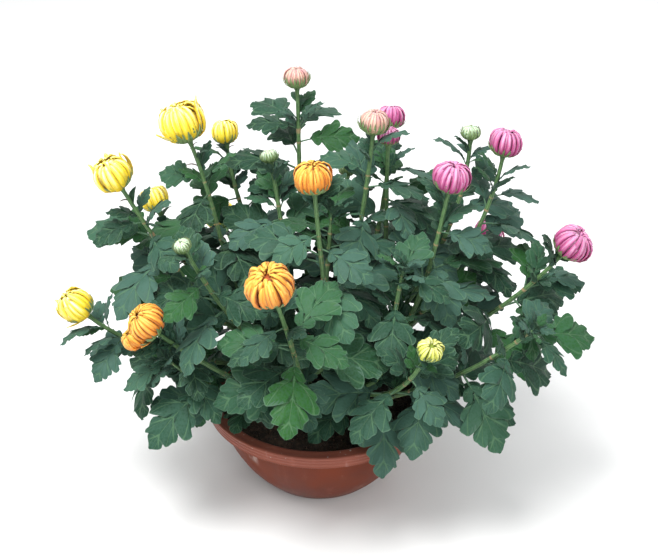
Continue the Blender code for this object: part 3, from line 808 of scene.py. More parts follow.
# lobed and toothed leaf blades on the frames that the plant grew with: one half of the
# outline, as place along the leaf and across it, where its vein leaves the midrib, and
# the vein's count, which is at a half on a lobe's own vein and whole between two lobes
leafOutline = [
    (0.215, 0.090, 0.200, 0.05),
    (0.245, 0.290, 0.215, 0.30),
    (0.305, 0.430, 0.230, 0.50),
    (0.362, 0.390, 0.245, 0.80),
    (0.385, 0.200, 0.270, 1.00),
    (0.400, 0.430, 0.290, 1.20),
    (0.440, 0.700, 0.305, 1.32),
    (0.505, 0.840, 0.320, 1.42),
    (0.548, 0.790, 0.332, 1.48),
    (0.600, 0.960, 0.345, 1.55),
    (0.668, 0.960, 0.365, 1.66),
    (0.698, 0.780, 0.385, 1.76),
    (0.668, 0.500, 0.410, 1.90),
    (0.605, 0.220, 0.440, 2.00),
    (0.650, 0.400, 0.490, 2.20),
    (0.700, 0.600, 0.525, 2.36),
    (0.762, 0.640, 0.550, 2.46),
    (0.800, 0.550, 0.570, 2.54),
    (0.845, 0.560, 0.595, 2.62),
    (0.872, 0.450, 0.625, 2.80),
    (0.865, 0.335, 0.670, 3.00),
    (0.900, 0.355, 0.740, 3.34),
    (0.930, 0.300, 0.800, 3.48),
    (0.965, 0.190, 0.870, 3.62),
    (0.985, 0.080, 0.930, 3.85),
]

leafShape = {
    "root": 0.185, "veins": 4.0, "sinuses": (1.0, 2.0),
    "thick": 0.00050, "columns": (0.32, 0.68),      # columns lie between midrib and margin
    "smoothing": 2, "jitter": 0.07, "shift": 0.008,
    "wave": 0.024, "curl": 0.055, "ruffle": 0.016,  # of the leaf's length
    "ruffleScale": (4.0, 6.0), "ruffleRoot": 0.4,
}
youngLeafShape = dict(leafShape, smoothing=1, thick=0.0004)
smallLeafShape = dict(leafShape, root=0.0, veins=3.0, columns=(0.5,), wave=0.0, curl=0.0, ruffle=0.0)
# small narrow leaves near a head, and the dried ones
smallLeafOutline = [
    (0.10, 0.25, 0.06, 0.2), (0.30, 0.85, 0.16, 0.5), (0.48, 1.00, 0.30, 1.0),
    (0.66, 0.80, 0.48, 1.5), (0.82, 0.50, 0.68, 2.0), (0.93, 0.22, 0.84, 2.5),
]


def catmull(before, start, end, after, t):
    return tuple(
        0.5 * (2 * b + (c - a) * t + (2 * a - 5 * b + 4 * c - d) * t * t + (3 * b - a - 3 * c + d) * t ** 3)
        for a, b, c, d in zip(before, start, end, after)
    )


# one side's outline with this leaf's own depth of lobe, smoothed to the rows of its mesh
def ownOutline(chance, depth, look):
    keys = [(look["root"], 0.0, look["root"], 0.0)]
    for along, across, vein, count in leafOutline:
        kept = 1.0 - depth if count in look["sinuses"] else 1.0
        across *= kept * (1.0 + chance.uniform(-look["jitter"], look["jitter"]))
        keys.append((along + chance.uniform(-look["shift"], look["shift"]), across, vein, count))
    keys.append((1.0, 0.0, 1.0, look["veins"]))
    rows = []
    for i in range(len(keys) - 1):
        before = keys[max(i - 1, 0)]
        after = keys[min(i + 2, len(keys) - 1)]
        for step in range(look["smoothing"]):
            rows.append(catmull(before, keys[i], keys[i + 1], after, step / look["smoothing"]))
    return rows[1:]


def bladePoint(leaf, look, row, part, side, seed):
    along, across, vein, count = row
    length, half = leaf[5:]
    place = vein + (along - vein) * part
    out = max(across, 0.0) * part * half
    point, normal = leafPoint(leaf, place, out * side)
    wave = math.cos(2.0 * math.pi * count) * look["wave"] * part * part
    curl = -look["curl"] * (out / half) ** 2
    lengthwise, sideways = look["ruffleScale"]
    spot = Vector((place * lengthwise, out * side / length * sideways, seed))
    ruffle = noise.noise(spot) * look["ruffle"] * (look["ruffleRoot"] + part)
    return point + normal * (length * (wave + curl + ruffle)), normal


# a top and an underside that meet at the margin, in rows from root to tip
def addSheets(shape, leaf, look, outlines, seed, tint, age, finishes):
    root = addPoint(shape, leafPoint(leaf, look["root"], 0.0)[0], (0.0, 0.0, tint, age))
    tip = addPoint(shape, leafPoint(leaf, 1.0, 0.0)[0], (look["veins"], 1.0, tint, age))
    count = len(outlines[0])
    last = len(look["columns"]) + 1
    index = {}

    def addPair(spot, i, half, j, values):
        point, normal = spot
        for sheet, lift in ((0, 0.5), (1, -0.5)):
            index[sheet, half, i, j] = addPoint(shape, point + normal * (lift * look["thick"]), values)

    for i in range(count):
        vein, phase = outlines[0][i][2:]
        addPair(leafPoint(leaf, vein, 0.0), i, 0, 0, (phase, 0.0, tint, age))
        for half, side in ((0, -1), (1, 1)):
            row = outlines[half][i]
            for sheet in (0, 1):
                index[sheet, half, i, 0] = index[sheet, 0, i, 0]
            for j, part in enumerate(look["columns"]):
                spot = bladePoint(leaf, look, row, part, side, seed)
                addPair(spot, i, half, j + 1, (row[3], part, tint, age))
            point = bladePoint(leaf, look, row, 1.0, side, seed)[0]
            margin = addPoint(shape, point, (row[3], 1.0, tint, age))
            index[0, half, i, last] = index[1, half, i, last] = margin
    for sheet, half in ((0, 0), (0, 1), (1, 0), (1, 1)):
        flip = sheet != half
        for j in range(last):
            for point, i in ((root, 0), (tip, count - 1)):
                corners = (point, index[sheet, half, i, j], index[sheet, half, i, j + 1])
                addFace(shape, corners if flip == (i == 0) else corners[::-1], finishes[sheet])
            for i in range(count - 1):
                corners = (
                    index[sheet, half, i, j], index[sheet, half, i + 1, j],
                    index[sheet, half, i + 1, j + 1], index[sheet, half, i, j + 1],
                )
                addFace(shape, corners if flip else corners[::-1], finishes[sheet])


stalkShape = {
    "rings": 11, "sides": 6, "end": 0.86, "fade": 0.93,   # in parts of the leaf's length
    "under": 0.14, "underOver": 0.12,                     # where it passes under the blade
    "radius": 0.0013, "forLength": 0.090,                 # radius on a leaf of this length
    "thinnest": 0.00022, "ribRadius": 0.0006,
    "sunk": 0.55, "gap": 0.0002, "tint": 0.5,
}


# the leaf's stalk, which runs on under the blade as its midrib
def addStalk(shape, leaf, look):
    rings = []
    across = leaf[2].cross(leaf[1])
    for i in range(look["rings"]):
        along = look["end"] * i / (look["rings"] - 1)
        point, normal = leafPoint(leaf, along, 0.0)
        onBlade = min(1.0, max(0.0, (along - look["under"]) / look["underOver"]))
        radius = look["radius"] * leaf[5] / look["forLength"] * (1.0 - along / look["fade"])
        radius = max(radius, look["thinnest"])
        if onBlade == 1.0:
            radius = min(radius, look["ribRadius"])
        centre = point - normal * (onBlade * (look["sunk"] * radius + look["gap"]))
        rings.append((centre, across, normal, radius, (0.0, 0.0, look["tint"], 0.0)))
    addTube(shape, rings, look["sides"], 0.0, leafSlots[1])


def addBlade(shape, leaf, look, chance, tint, age, depth):
    seed = chance.uniform(0.0, 90.0)
    outlines = [ownOutline(chance, depth, look) for half in (0, 1)]
    addSheets(shape, leaf, look, outlines, seed, tint, age, leafSlots)
    addStalk(shape, leaf, stalkShape)


def addSmallLeaf(shape, leaf, tint, finishes):
    addSheets(shape, leaf, smallLeafShape, [smallLeafOutline] * 2, 0.0, tint, 0.0, finishes)


stemShape = {
    "sides": 14, "ribDepth": 0.11, "spacing": 0.0035, "fewest": 6, "seed": 4200,
    "flare": 1.9, "flareLength": 0.005,              # under a head
    "tip": 0.30, "tipLength": 0.020,                 # at a growing tip
    "taper": 0.4, "taperFrom": 0.75,                 # up a main stem
    "nodeSwell": 0.16, "nodeReach": 0.004, "nodeScar": 0.75,
}


def evenPath(path, look):
    total = lengthOf(path)
    count = max(look["fewest"], round(total / look["spacing"]))
    return [backAlong(path, total * (1.0 - i / count)) for i in range(count + 1)]


def nearestLeaf(point, leaves):
    return min([(leaf[0] - point).length for leaf in leaves] + [1.0])


def addStem(shape, path, radii, leaves, look, chance):
    points = evenPath(path, look)
    total = lengthOf(path)
    heading = (points[1] - points[0]).normalized()
    across = heading.orthogonal().normalized()
    rings = []
    done = 0.0
    for i, point in enumerate(points):
        ahead = points[min(i + 1, len(points) - 1)] - points[max(i - 1, 0)]
        ahead.normalize()
        across = (across - ahead * across.dot(ahead)).normalized()
        if i:
            done += (point - points[i - 1]).length
        bump = max(0.0, 1.0 - nearestLeaf(point, leaves) / look["nodeReach"])
        radius = radii(done / total, total - done) * (1.0 + look["nodeSwell"] * bump)
        values = (0.0, point.z, chance.random(), look["nodeScar"] * bump)
        rings.append((point, across, ahead.cross(across), radius, values))
    addTube(shape, rings, look["sides"], look["ribDepth"], stemSlot)


# a stem's radius, at a part of the way up it and a length left to its end
def slimmed(part):
    return growth["stemRadius"] + (growth["neckRadius"] - growth["stemRadius"]) * part


def shootRadius(part, left):
    flared = max(0.0, 1.0 - left / stemShape["flareLength"])
    return slimmed(part) * (1.0 + (stemShape["flare"] - 1.0) * flared)


def growingTipRadius(part, left):
    tip = stemShape["tip"]
    return slimmed(part) * (tip + (1.0 - tip) * min(1.0, left / stemShape["tipLength"]))


def mainRadius(radius):
    start = stemShape["taperFrom"]
    return lambda part, left: radius * (1.0 - stemShape["taper"] * max(0.0, part - start) / (1.0 - start))


fullLeaves = {
    "tint": (0.05, 0.95), "age": (0.0, 0.35), "depth": (0.05, 0.60),
    "lowFrom": 0.150, "lowOver": 0.06, "lowPaintedShade": 0.45,      # low leaves are painted darker and duller, as shade under the bush
    "oldFrom": 0.6, "oldShare": 0.30, "oldAge": 0.85,         # and some of them yellowed
}
# places back along the stem, bearings and lifts in degrees, lengths, and half width to length
smallLeaves = {
    "count": (1, 3), "place": (0.006, 0.030), "bearing": (0, 360),
    "length": (0.014, 0.024), "half": 0.25, "lift": (0, 35), "tint": (0.3, 0.9),
}
# the young leaves below a head, round a growing tip, and where a stretch of stem is bare
upperLeaves = {
    "count": (4, 6), "place": (0.016, 0.058), "bearing": (-60, 240),
    "length": (0.030, 0.056), "half": 0.29, "lift": (8, 36),
}
tipLeaves = {"count": 7, "spacing": 0.0022, "length": (0.022, 0.040), "half": 0.27, "lift": 34, "turn": 40.0}
sideLeaves = {
    "spacing": 0.014, "from": 0.050, "fromTip": 0.025, "footBare": 0.012, "clear": 0.008,
    "opposite": (130, 230), "turn": 25.0, "length": (0.026, 0.044), "half": 0.28, "lift": (5, 40),
}
youngLook = {
    "tint": (0.2, 0.9), "depth": 0.25, "lean": 0.5, "rise": 30, "droop": -45,
    "headAt": 0.45, "headClear": 0.0025, "tested": ((0.4, 0), (0.7, 0), (1.0, 0), (0.6, 1), (0.6, -1)),
}
# dried bracts under a head: place back along the stem, heading, length
driedBits = {
    "yellow_1": [(0.004, 340, 0.012), (0.009, 350, 0.010), (0.030, 190, 0.016)],
    "yellow_2": [(0.005, 350, 0.012), (0.008, 10, 0.010)],
    "yellow_3": [(0.006, 20, 0.009), (0.018, 200, 0.011), (0.003, 210, 0.008)],
}
driedLook = {"half": 0.16, "lift": 10, "tint": 0.5}


def smallLeafAt(path, place, bearing, length, half, lift):
    root = backAlong(path, place)
    up = (path[-1] - path[-2]).normalized()
    ahead = Vector((math.cos(math.radians(bearing)), math.sin(math.radians(bearing)), 0.0))
    ahead = (ahead - up * ahead.dot(up)).normalized()
    ahead = (ahead + up * youngLook["lean"]).normalized()
    facing = ahead.cross(up).cross(ahead).normalized()
    rise, droop = math.radians(youngLook["rise"] + lift), math.radians(youngLook["droop"] + lift)
    return (root, ahead, facing, rise, droop, length, half * length)


def youngLeaf(path, place, bearing, look, chance):
    length = chance.uniform(*look["length"])
    return smallLeafAt(path, place, bearing, length, look["half"], chance.uniform(*look["lift"]))


# a few leaves at random places on a stem
def strewnLeaves(path, look, chance):
    for i in range(chance.randint(*look["count"])):
        place = chance.uniform(*look["place"])
        yield youngLeaf(path, place, chance.uniform(*look["bearing"]), look, chance)


stemPaths = {name: path for name, path, radius, stations, turn in plan}
headed = {"shoot_" + row[0]: row[5] for row in shoots if row[5] > 0.0}
headBalls = []
for name, diameter in headed.items():
    line = stemPaths[name]
    centre = line[-1] + (line[-1] - line[-2]).normalized() * (youngLook["headAt"] * diameter)
    headBalls.append((centre, 0.5 * diameter))


def clearOfHeads(leaf):
    for along, side in youngLook["tested"]:
        point = leafPoint(leaf, along, side * leaf[6])[0]
        if any((point - centre).length < radius + youngLook["headClear"] for centre, radius in headBalls):
            return False
    return True


def addFullLeaves(shape, leaves, look, chance):
    for leaf in leaves:
        low = max(0.0, min(1.0, (look["lowFrom"] - leaf[0].z) / look["lowOver"]))
        # painted shade: the tint falls for low leaves, so they take the deep colour and less of the bluish
        # one
        tint = chance.uniform(*look["tint"]) * (1.0 - look["lowPaintedShade"] * low)
        old = low > look["oldFrom"] and chance.random() < look["oldShare"]
        age = look["oldAge"] if old else chance.uniform(*look["age"])
        addBlade(shape, leaf, leafShape, chance, tint, age, chance.uniform(*look["depth"]))


# young leaves round a growing tip, and one opposite each full leaf of a leafy shoot
def tipAndOpposite(number, path, leaves, chance):
    young = []
    for i in range(tipLeaves["count"]):
        part = i / tipLeaves["count"]
        shortest, longest = tipLeaves["length"]
        length = shortest + (longest - shortest) * part
        bearing = growth["goldenAngle"] * i + tipLeaves["turn"] * number
        lift = tipLeaves["lift"] * (1.0 - part)
        young.append(smallLeafAt(path, tipLeaves["spacing"] * i, bearing, length, tipLeaves["half"], lift))
    for leaf in leaves:
        bearing = math.degrees(math.atan2(leaf[1].y, leaf[1].x)) + chance.uniform(*sideLeaves["opposite"])
        young.append((leaf[0], *youngLeaf(path, 0.0, bearing, sideLeaves, chance)[1:]))
    return young


def growShoot(number, name, path, radius, leaves):
    chance = random.Random(stemShape["seed"] + number)
    shape = emptyShape()
    isMain = name.startswith("main_stem_")
    if isMain:
        root = path[0].copy()
        root.z -= growth["rootDepth"]
        path = [root] + path
        radii = mainRadius(radius)
    else:
        radii = shootRadius if name in headed else growingTipRadius
    addStem(shape, path, radii, leaves, stemShape, chance)
    addFullLeaves(shape, leaves, fullLeaves, chance)
    if name in headed:
        young = list(strewnLeaves(path, upperLeaves, chance))
    else:
        young = tipAndOpposite(number, path, leaves, chance)
    place = sideLeaves["from" if name in headed else "fromTip"]
    while not isMain and place < lengthOf(path) - sideLeaves["footBare"]:
        bearing = growth["goldenAngle"] * len(young) + sideLeaves["turn"] * number
        if nearestLeaf(backAlong(path, place), leaves) > sideLeaves["clear"]:
            young.append(youngLeaf(path, place, bearing, sideLeaves, chance))
        place += sideLeaves["spacing"]
    for leaf in filter(clearOfHeads, young):
        tint = chance.uniform(*youngLook["tint"])
        addBlade(shape, leaf, youngLeafShape, chance, tint, 0.0, youngLook["depth"])
    if name in headed:
        for leaf in strewnLeaves(path, smallLeaves, chance):
            if clearOfHeads(leaf):
                addSmallLeaf(shape, leaf, chance.uniform(*smallLeaves["tint"]), leafSlots)
    for place, bearing, length in driedBits.get(name.replace("shoot_", ""), []):
        dried = smallLeafAt(path, place, bearing, length, driedLook["half"], driedLook["lift"])
        addSmallLeaf(shape, dried, driedLook["tint"], driedSlots)
    newName = name.replace("main_stem_", "mainStem_").replace("shoot_", "leafyShoot_")
    item = shapeObject(newName, shape, plantSkins, plantValues)
    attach(item, "root")
    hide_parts(name)


for number, (name, path, radius, stations, turn) in enumerate(plan):
    growShoot(number, name, path, radius, grownLeaves[name])
print("stems and leaves made")


# makes a tree with its inputs and its result named
def newTree(name, source, wanted, made):
    tree = bpy.data.node_groups.new(name, "GeometryNodeTree")
    tree.is_modifier = True
    for title, kind in [(source, "Geometry"), *wanted]:
        tree.interface.new_socket(title, in_out="INPUT", socket_type="NodeSocket" + kind)
    tree.interface.new_socket(made, in_out="OUTPUT", socket_type="NodeSocketGeometry")
    return tree, tree.nodes.new("NodeGroupInput").outputs


def drawn(tree, given, offset, low, high):
    inputs = {2: low, 3: high, "Seed": plus(tree, given["Seed"], offset)}
    return added(tree, "FunctionNodeRandomValue", inputs, data_type="FLOAT").outputs[1]


# copies of an object on points
def strewn(tree, points, item, turn, size):
    source = added(tree, "GeometryNodeObjectInfo", {"Object": item, "As Instance": True})
    inputs = {"Points": points, "Instance": source.outputs["Geometry"], "Rotation": turn, "Scale": size}
    return added(tree, "GeometryNodeInstanceOnPoints", inputs).outputs[0]


def endTree(tree, given, geometry):
    solid = added(tree, "GeometryNodeRealizeInstances", {0: geometry}).outputs[0]
    finished = added(tree, "GeometryNodeSetMaterial", {"Geometry": solid, "Material": given["Finish"]})
    added(tree, "NodeGroupOutput", {0: finished.outputs[0]})
    return tree


# a ring of petals or bracts round a head
def ringTree():
    tree, given = newTree("petalRing", "Head", [
        ("Petal", "Object"), ("Petals", "Int"), ("First Turn", "Float"), ("Tilt", "Float"),
        ("Size", "Float"), ("Centre", "Vector"), ("Unevenness", "Float"), ("Seed", "Int"),
        ("Finish", "Material"),
    ], "Head")
    line = added(tree, "GeometryNodeMeshLine", {
        "Offset": (0.0, 0.0, 0.0), "Count": given["Petals"], "Start Location": given["Centre"],
    })
    index = tree.nodes.new("GeometryNodeInputIndex").outputs[0]
    most = given["Unevenness"]
    least = times(tree, most, -1.0)
    step = maths(tree, "DIVIDE", 2.0 * math.pi, given["Petals"])
    turn = plus(tree, times(tree, index, step), given["First Turn"])
    turn = plus(tree, turn, drawn(tree, given, 1, least, most))
    tilt = plus(tree, given["Tilt"], drawn(tree, given, 2, least, most))
    angles = added(tree, "FunctionNodeEulerToRotation", {0: combined(tree, 0.0, tilt, turn)}).outputs[0]
    grow = maths(tree, "MULTIPLY_ADD", drawn(tree, given, 3, least, most), 0.7, 1.0)
    ring = strewn(tree, line.outputs[0], given["Petal"], angles, times(tree, grow, given["Size"]))
    tinted = added(tree, "GeometryNodeStoreNamedAttribute", {
        "Name": "petalTint", "Geometry": ring, "Value": drawn(tree, given, 4, 0.0, 1.0),
    }, data_type="FLOAT", domain="INSTANCE")
    both = added(tree, "GeometryNodeJoinGeometry", {0: tinted.outputs[0]})
    put(tree, both.inputs[0], given["Head"])
    return endTree(tree, given, both.outputs[0])


petalRing = ringTree()


def addTree(item, tree, settings):
    modifier = item.modifiers.new(tree.name, "NODES")
    modifier.node_group = tree
    for socket in tree.interface.items_tree:
        if socket.in_out == "INPUT" and socket.name in settings:
            modifier[socket.identifier] = settings[socket.name]


def plainMesh(item):
    graph = bpy.context.evaluated_depsgraph_get()
    made = item.evaluated_get(graph)
    mesh = bpy.data.meshes.new_from_object(made, preserve_all_data_layers=True, depsgraph=graph)
    item.modifiers.clear()
    item.data = mesh
    mesh.name = item.name


stripLanes = (-1.0, -0.45, 0.45, 1.0)


# a thin closed strip on a line of (radius, height) points, bowed across its width
def stripObject(name, line, widths, width, cup, roll, thick):
    shape = emptyShape()
    top = len(line) - 1
    last = len(stripLanes) - 1
    grid = {}
    for i, (radius, height) in enumerate(line):
        before = line[max(i - 1, 0)]
        after = line[min(i + 1, top)]
        run = Vector((after[0] - before[0], 0.0, after[1] - before[1])).normalized()
        normal = Vector((run.z, 0.0, -run.x))
        half = 0.5 * width * widths[i]
        for j, lane in enumerate(stripLanes):
            sunk = cup * lane * lane * widths[i] + roll * lane * widths[i]
            outer = Vector((radius, half * lane, height)) - normal * sunk
            for sheet, depth in ((0, 0.0), (1, thick)):
                grid[sheet, i, j] = addPoint(shape, outer - normal * depth, (i / top, lane))

    def addSide(*corners):
        addFace(shape, tuple(grid[corner] for corner in corners))

    for i in range(top):
        for j in range(last):
            addSide((0, i, j), (0, i, j + 1), (0, i + 1, j + 1), (0, i + 1, j))
            addSide((1, i, j), (1, i + 1, j), (1, i + 1, j + 1), (1, i, j + 1))
        addSide((0, i, 0), (0, i + 1, 0), (1, i + 1, 0), (1, i, 0))
        addSide((0, i, last), (1, i, last), (1, i + 1, last), (0, i + 1, last))
    for j in range(last):
        addSide((0, 0, j), (1, 0, j), (1, 0, j + 1), (0, 0, j + 1))
        addSide((0, top, j), (0, top, j + 1), (1, top, j + 1), (1, top, j))
    return shapeObject(name, shape, (), headValues)


# a solid turned about Z from (radius, height) points that run up its outer side
def addTurned(shape, profile, steps, values=()):
    rings = []
    for radius, height in profile:
        if radius == 0.0:
            rings.append([addPoint(shape, (0.0, 0.0, height), values)] * steps)
            continue
        ring = []
        for i in range(steps):
            angle = 2.0 * math.pi * i / steps
            ring.append(addPoint(shape, (radius * math.cos(angle), radius * math.sin(angle), height), values))
        rings.append(ring)
    for low, high in zip(rings, rings[1:]):
        for i in range(steps):
            j = (i + 1) % steps
            addFace(shape, tuple(dict.fromkeys((low[i], low[j], high[j], high[i]))))


# petal lines and widths in parts of the head's diameter
petalForms = {
    "outer": [
        (0.10, 0.04), (0.30, 0.06), (0.44, 0.18), (0.495, 0.35),
        (0.49, 0.54), (0.42, 0.70), (0.29, 0.80), (0.17, 0.82),
    ],
    "inner": [
        (0.10, 0.06), (0.25, 0.10), (0.38, 0.23), (0.44, 0.39),
        (0.425, 0.57), (0.34, 0.73), (0.20, 0.81), (0.11, 0.78),
    ],
    "crown": [
        (0.05, 0.30), (0.14, 0.36), (0.23, 0.48), (0.27, 0.61),
        (0.25, 0.72), (0.17, 0.79), (0.09, 0.77), (0.05, 0.68),
    ],
    "bellOuter": [
        (0.10, 0.04), (0.29, 0.05), (0.43, 0.16), (0.49, 0.33),
        (0.50, 0.51), (0.47, 0.67), (0.40, 0.78), (0.31, 0.82),
    ],
    "bellInner": [
        (0.10, 0.06), (0.25, 0.10), (0.38, 0.23), (0.44, 0.40),
        (0.43, 0.58), (0.36, 0.74), (0.25, 0.83), (0.16, 0.84),
    ],
    "bellCrown": [
        (0.05, 0.30), (0.14, 0.36), (0.22, 0.48), (0.26, 0.61),
        (0.25, 0.73), (0.18, 0.82), (0.10, 0.83), (0.05, 0.78),
    ],
    "loose": [
        (0.10, 0.04), (0.26, 0.06), (0.40, 0.11), (0.52, 0.20),
        (0.62, 0.30), (0.70, 0.40), (0.76, 0.48), (0.80, 0.53),
    ],
    "standing": [
        (0.10, 0.04), (0.29, 0.06), (0.43, 0.18), (0.50, 0.35),
        (0.53, 0.53), (0.54, 0.70), (0.55, 0.84), (0.58, 0.92),
    ],
}
petalWidths = [0.45, 0.70, 0.95, 1.00, 0.98, 0.86, 0.62, 0.26]
bractForms = {
    "short": [(0.09, 0.00), (0.24, 0.01), (0.36, 0.09), (0.45, 0.20), (0.500, 0.33)],
    "tall": [(0.09, 0.00), (0.28, 0.02), (0.43, 0.15), (0.52, 0.36), (0.515, 0.55)],
    "closed": [(0.09, 0.00), (0.30, 0.03), (0.46, 0.20), (0.53, 0.44), (0.46, 0.72)],
}
bractWidths = [0.80, 1.00, 0.95, 0.62, 0.10]

# rings as form, petals, tilt in degrees and size; a petal's width, bow and roll; its bracts'
# form and number; how uneven its rings are, and how far it is pressed flat
headKinds = {
    "yellow": {
        "rings": [("bellOuter", 19, 1.0, 1.00), ("bellInner", 17, 2.0, 1.02), ("bellCrown", 10, 3.0, 1.04)],
        "width": 0.190, "cup": 0.030, "roll": 0.014, "bract": "short", "bracts": 20, "uneven": 0.115,
        "height": 0.95,
    },
    "orange": {
        "rings": [("outer", 26, 1.0, 1.00), ("inner", 22, 2.0, 1.03), ("crown", 15, 4.0, 1.07)],
        "width": 0.135, "cup": 0.028, "roll": 0.010, "bract": "short", "bracts": 18, "uneven": 0.105,
        "height": 0.93,
    },
    "pink": {
        "rings": [("outer", 22, 0.0, 1.00), ("inner", 17, 1.0, 1.02), ("crown", 10, 1.0, 1.05)],
        "width": 0.160, "cup": 0.028, "roll": 0.012, "bract": "short", "bracts": 20, "uneven": 0.085,
        "height": 0.90,
    },
    "cream": {
        "rings": [("outer", 22, -2.0, 1.00), ("inner", 16, -1.0, 1.01), ("crown", 9, 0.0, 1.04)],
        "width": 0.150, "cup": 0.026, "roll": 0.012, "bract": "tall", "bracts": 22, "uneven": 0.050,
        "height": 0.90,
    },
    "green": {
        "rings": [("outer", 18, -2.0, 0.98), ("inner", 13, -1.0, 0.98), ("crown", 7, 0.0, 1.02)],
        "width": 0.170, "cup": 0.034, "roll": 0.010, "bract": "closed", "bracts": 16, "uneven": 0.050,
        "height": 0.80,
    },
    "lemon": {
        "rings": [("outer", 18, 4.0, 1.00), ("inner", 14, 6.0, 1.00), ("crown", 8, 6.0, 1.04)],
        "width": 0.165, "cup": 0.034, "roll": 0.016, "bract": "tall", "bracts": 20, "uneven": 0.110,
        "height": 0.86,
    },
}
creamHeads = ("pink_1", "pink_2")
# petals that stand away from their head: form, turn from the right, tilt, size
loosePetals = {
    "yellow_1": [
        ("loose", 192, 2, 0.80), ("loose", 206, 0, 0.84), ("loose", 222, 3, 0.76), ("loose", 176, -4, 0.74),
        ("standing", -24, 0, 1.02), ("standing", -4, -2, 1.00), ("standing", 150, -6, 0.92),
    ],
    "yellow_3": [("standing", 170, -4, 0.96), ("standing", 20, -6, 0.94), ("standing", 95, -8, 0.92)],
    "yellow_4": [("loose", 200, 0, 0.78), ("loose", 224, 2, 0.74)],
    "yellow_5": [("loose", 222, 14, 0.72), ("loose", 240, 12, 0.66), ("standing", 160, -5, 0.92)],
    "orange_3": [("loose", 205, 6, 0.72), ("loose", 235, 10, 0.74), ("loose", 262, 8, 0.70)],
    "lemon_1": [
        ("loose", 200, -10, 0.74), ("loose", 80, -12, 0.72),
        ("loose", 320, -10, 0.74), ("loose", 262, -8, 0.74),
    ],
}
# a head that parts in two: sizes and centres of its balls in parts of its diameter
partedHeads = {"orange_3": [(0.86, (0.12, 0.0, 0.06)), (0.60, (-0.36, -0.20, 0.06))]}
# what all heads share, in parts of the diameter, with lines as (radius, height) points
headLook = {
    "core": [(0.0, 0.07), (0.24, 0.11), (0.38, 0.26), (0.41, 0.44), (0.35, 0.60), (0.20, 0.70), (0.0, 0.70)],
    # the core takes the values of a petal's base at its edge, so it shows mostly the painted shade colour
    # between the petals
    "coreSteps": 18, "coreValues": (0.05, 1.0),
    "cup": [(0.0, -0.01), (0.12, -0.01), (0.20, 0.02), (0.28, 0.07), (0.20, 0.12), (0.0, 0.14)],
    "cupSteps": 16, "cupValues": (0.0, 0.0),
    "petalThick": 0.013, "looseWidth": 1.35, "looseUneven": 0.02, "ringTurn": 0.7,
    "bractRings": ((1.02, 0.0), (0.86, 5.0)),         # size and tilt
    "bractSpread": 2.6, "bractCup": 0.012, "bractRoll": 0.006, "bractThick": 0.014,
    "bractTurn": 0.5, "bractDrop": 0.004, "bractUneven": 0.06,
}


def headFrame(path, pressed):
    axis = (path[-1] - path[-2]).normalized()
    right = (Vector((1.0, 0.0, 0.0)) - axis * axis.x).normalized()
    seat = path[-1] + axis * potSize["gap"]
    turned = Matrix((right, axis.cross(right), axis)).transposed().to_4x4()
    return Matrix.Translation(seat) @ turned @ Matrix.Diagonal((1.0, 1.0, pressed, 1.0))


stripStore = {}


# one petal or bract of a kind of head, made once and then copied by the ring trees
def stripFor(kind, form):
    if (kind, form) not in stripStore:
        look = headKinds[kind]
        if form in bractForms:
            line, widths, width = bractForms[form], bractWidths, headLook["bractSpread"] / look["bracts"]
            bow = (headLook["bractCup"], headLook["bractRoll"], headLook["bractThick"])
        else:
            line, widths = petalForms[form], petalWidths
            width = look["width"] * (headLook["looseWidth"] if form == "loose" else 1.0)
            bow = (look["cup"], look["roll"], headLook["petalThick"])
        stripStore[kind, form] = stripObject(kind + form, line, widths, width, *bow)
    return stripStore[kind, form]


# a head's rings, as form, count, first turn, tilt, size, centre, unevenness and seed
def ringRows(number, name, look, balls):
    rows = []
    middle = (0.0, 0.0, 0.0)
    for ball, (size, centre) in enumerate(balls):
        for ring, (form, count, tilt, grow) in enumerate(look["rings"]):
            turn = headLook["ringTurn"] * ring + number
            rows.append((form, count, turn, tilt, grow * size, centre, look["uneven"], 10 * ball + ring))
    for extra, (form, turn, tilt, size) in enumerate(loosePetals.get(name, [])):
        rows.append((form, 1, math.radians(turn), tilt, size, middle, headLook["looseUneven"], 50 + extra))
    return rows


def bractRows(number, look):
    rows = []
    for ring, (grow, tilt) in enumerate(headLook["bractRings"]):
        turn = headLook["bractTurn"] * ring + number
        centre = (0.0, 0.0, -headLook["bractDrop"] * ring)
        count = look["bracts"] // (ring + 1)
        rows.append((look["bract"], count, turn, tilt, grow, centre, headLook["bractUneven"], 70 + ring))
    return rows


def headPiece(name, shape, skin, number, kind, diameter, rows, place):
    piece = shapeObject(name, shape, [skin], headValues)
    for form, count, turn, tilt, size, centre, uneven, seed in rows:
        addTree(piece, petalRing, {
            "Petal": stripFor(kind, form), "Petals": count, "First Turn": turn,
            "Tilt": math.radians(tilt), "Size": size * diameter, "Centre": Vector(centre) * diameter,
            "Unevenness": uneven, "Seed": 100 * number + seed, "Finish": skin,
        })
    plainMesh(piece)
    piece.data.transform(place)
    return piece


def makeHead(number, row, path):
    name, diameter = row[0], row[5]
    kind = "cream" if name in creamHeads else name.split("_")[0]
    look = headKinds[kind]
    place = headFrame(path, look["height"])
    core = emptyShape()
    balls = partedHeads.get(name, [(1.0, (0.0, 0.0, 0.0))])
    for size, centre in balls:
        first = len(core["points"])
        addTurned(core, headLook["core"], headLook["coreSteps"], headLook["coreValues"])
        for i in range(first, len(core["points"])):
            spot = Vector(core["points"][i]) * size * diameter
            core["points"][i] = tuple(spot + Vector(centre) * diameter)
    rows = ringRows(number, name, look, balls)
    petals = headPiece("petals_" + name, core, petalSkins[kind], number, kind, diameter, rows, place)
    cup = emptyShape()
    profile = [(radius * diameter, height * diameter) for radius, height in headLook["cup"]]
    addTurned(cup, profile, headLook["cupSteps"], headLook["cupValues"])
    rows = bractRows(number, look)
    bracts = headPiece("bracts_" + name, cup, bractSkin, number, kind, diameter, rows, place)
    for piece in (petals, bracts):
        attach(piece, "root")
        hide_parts("bloom_" + name)


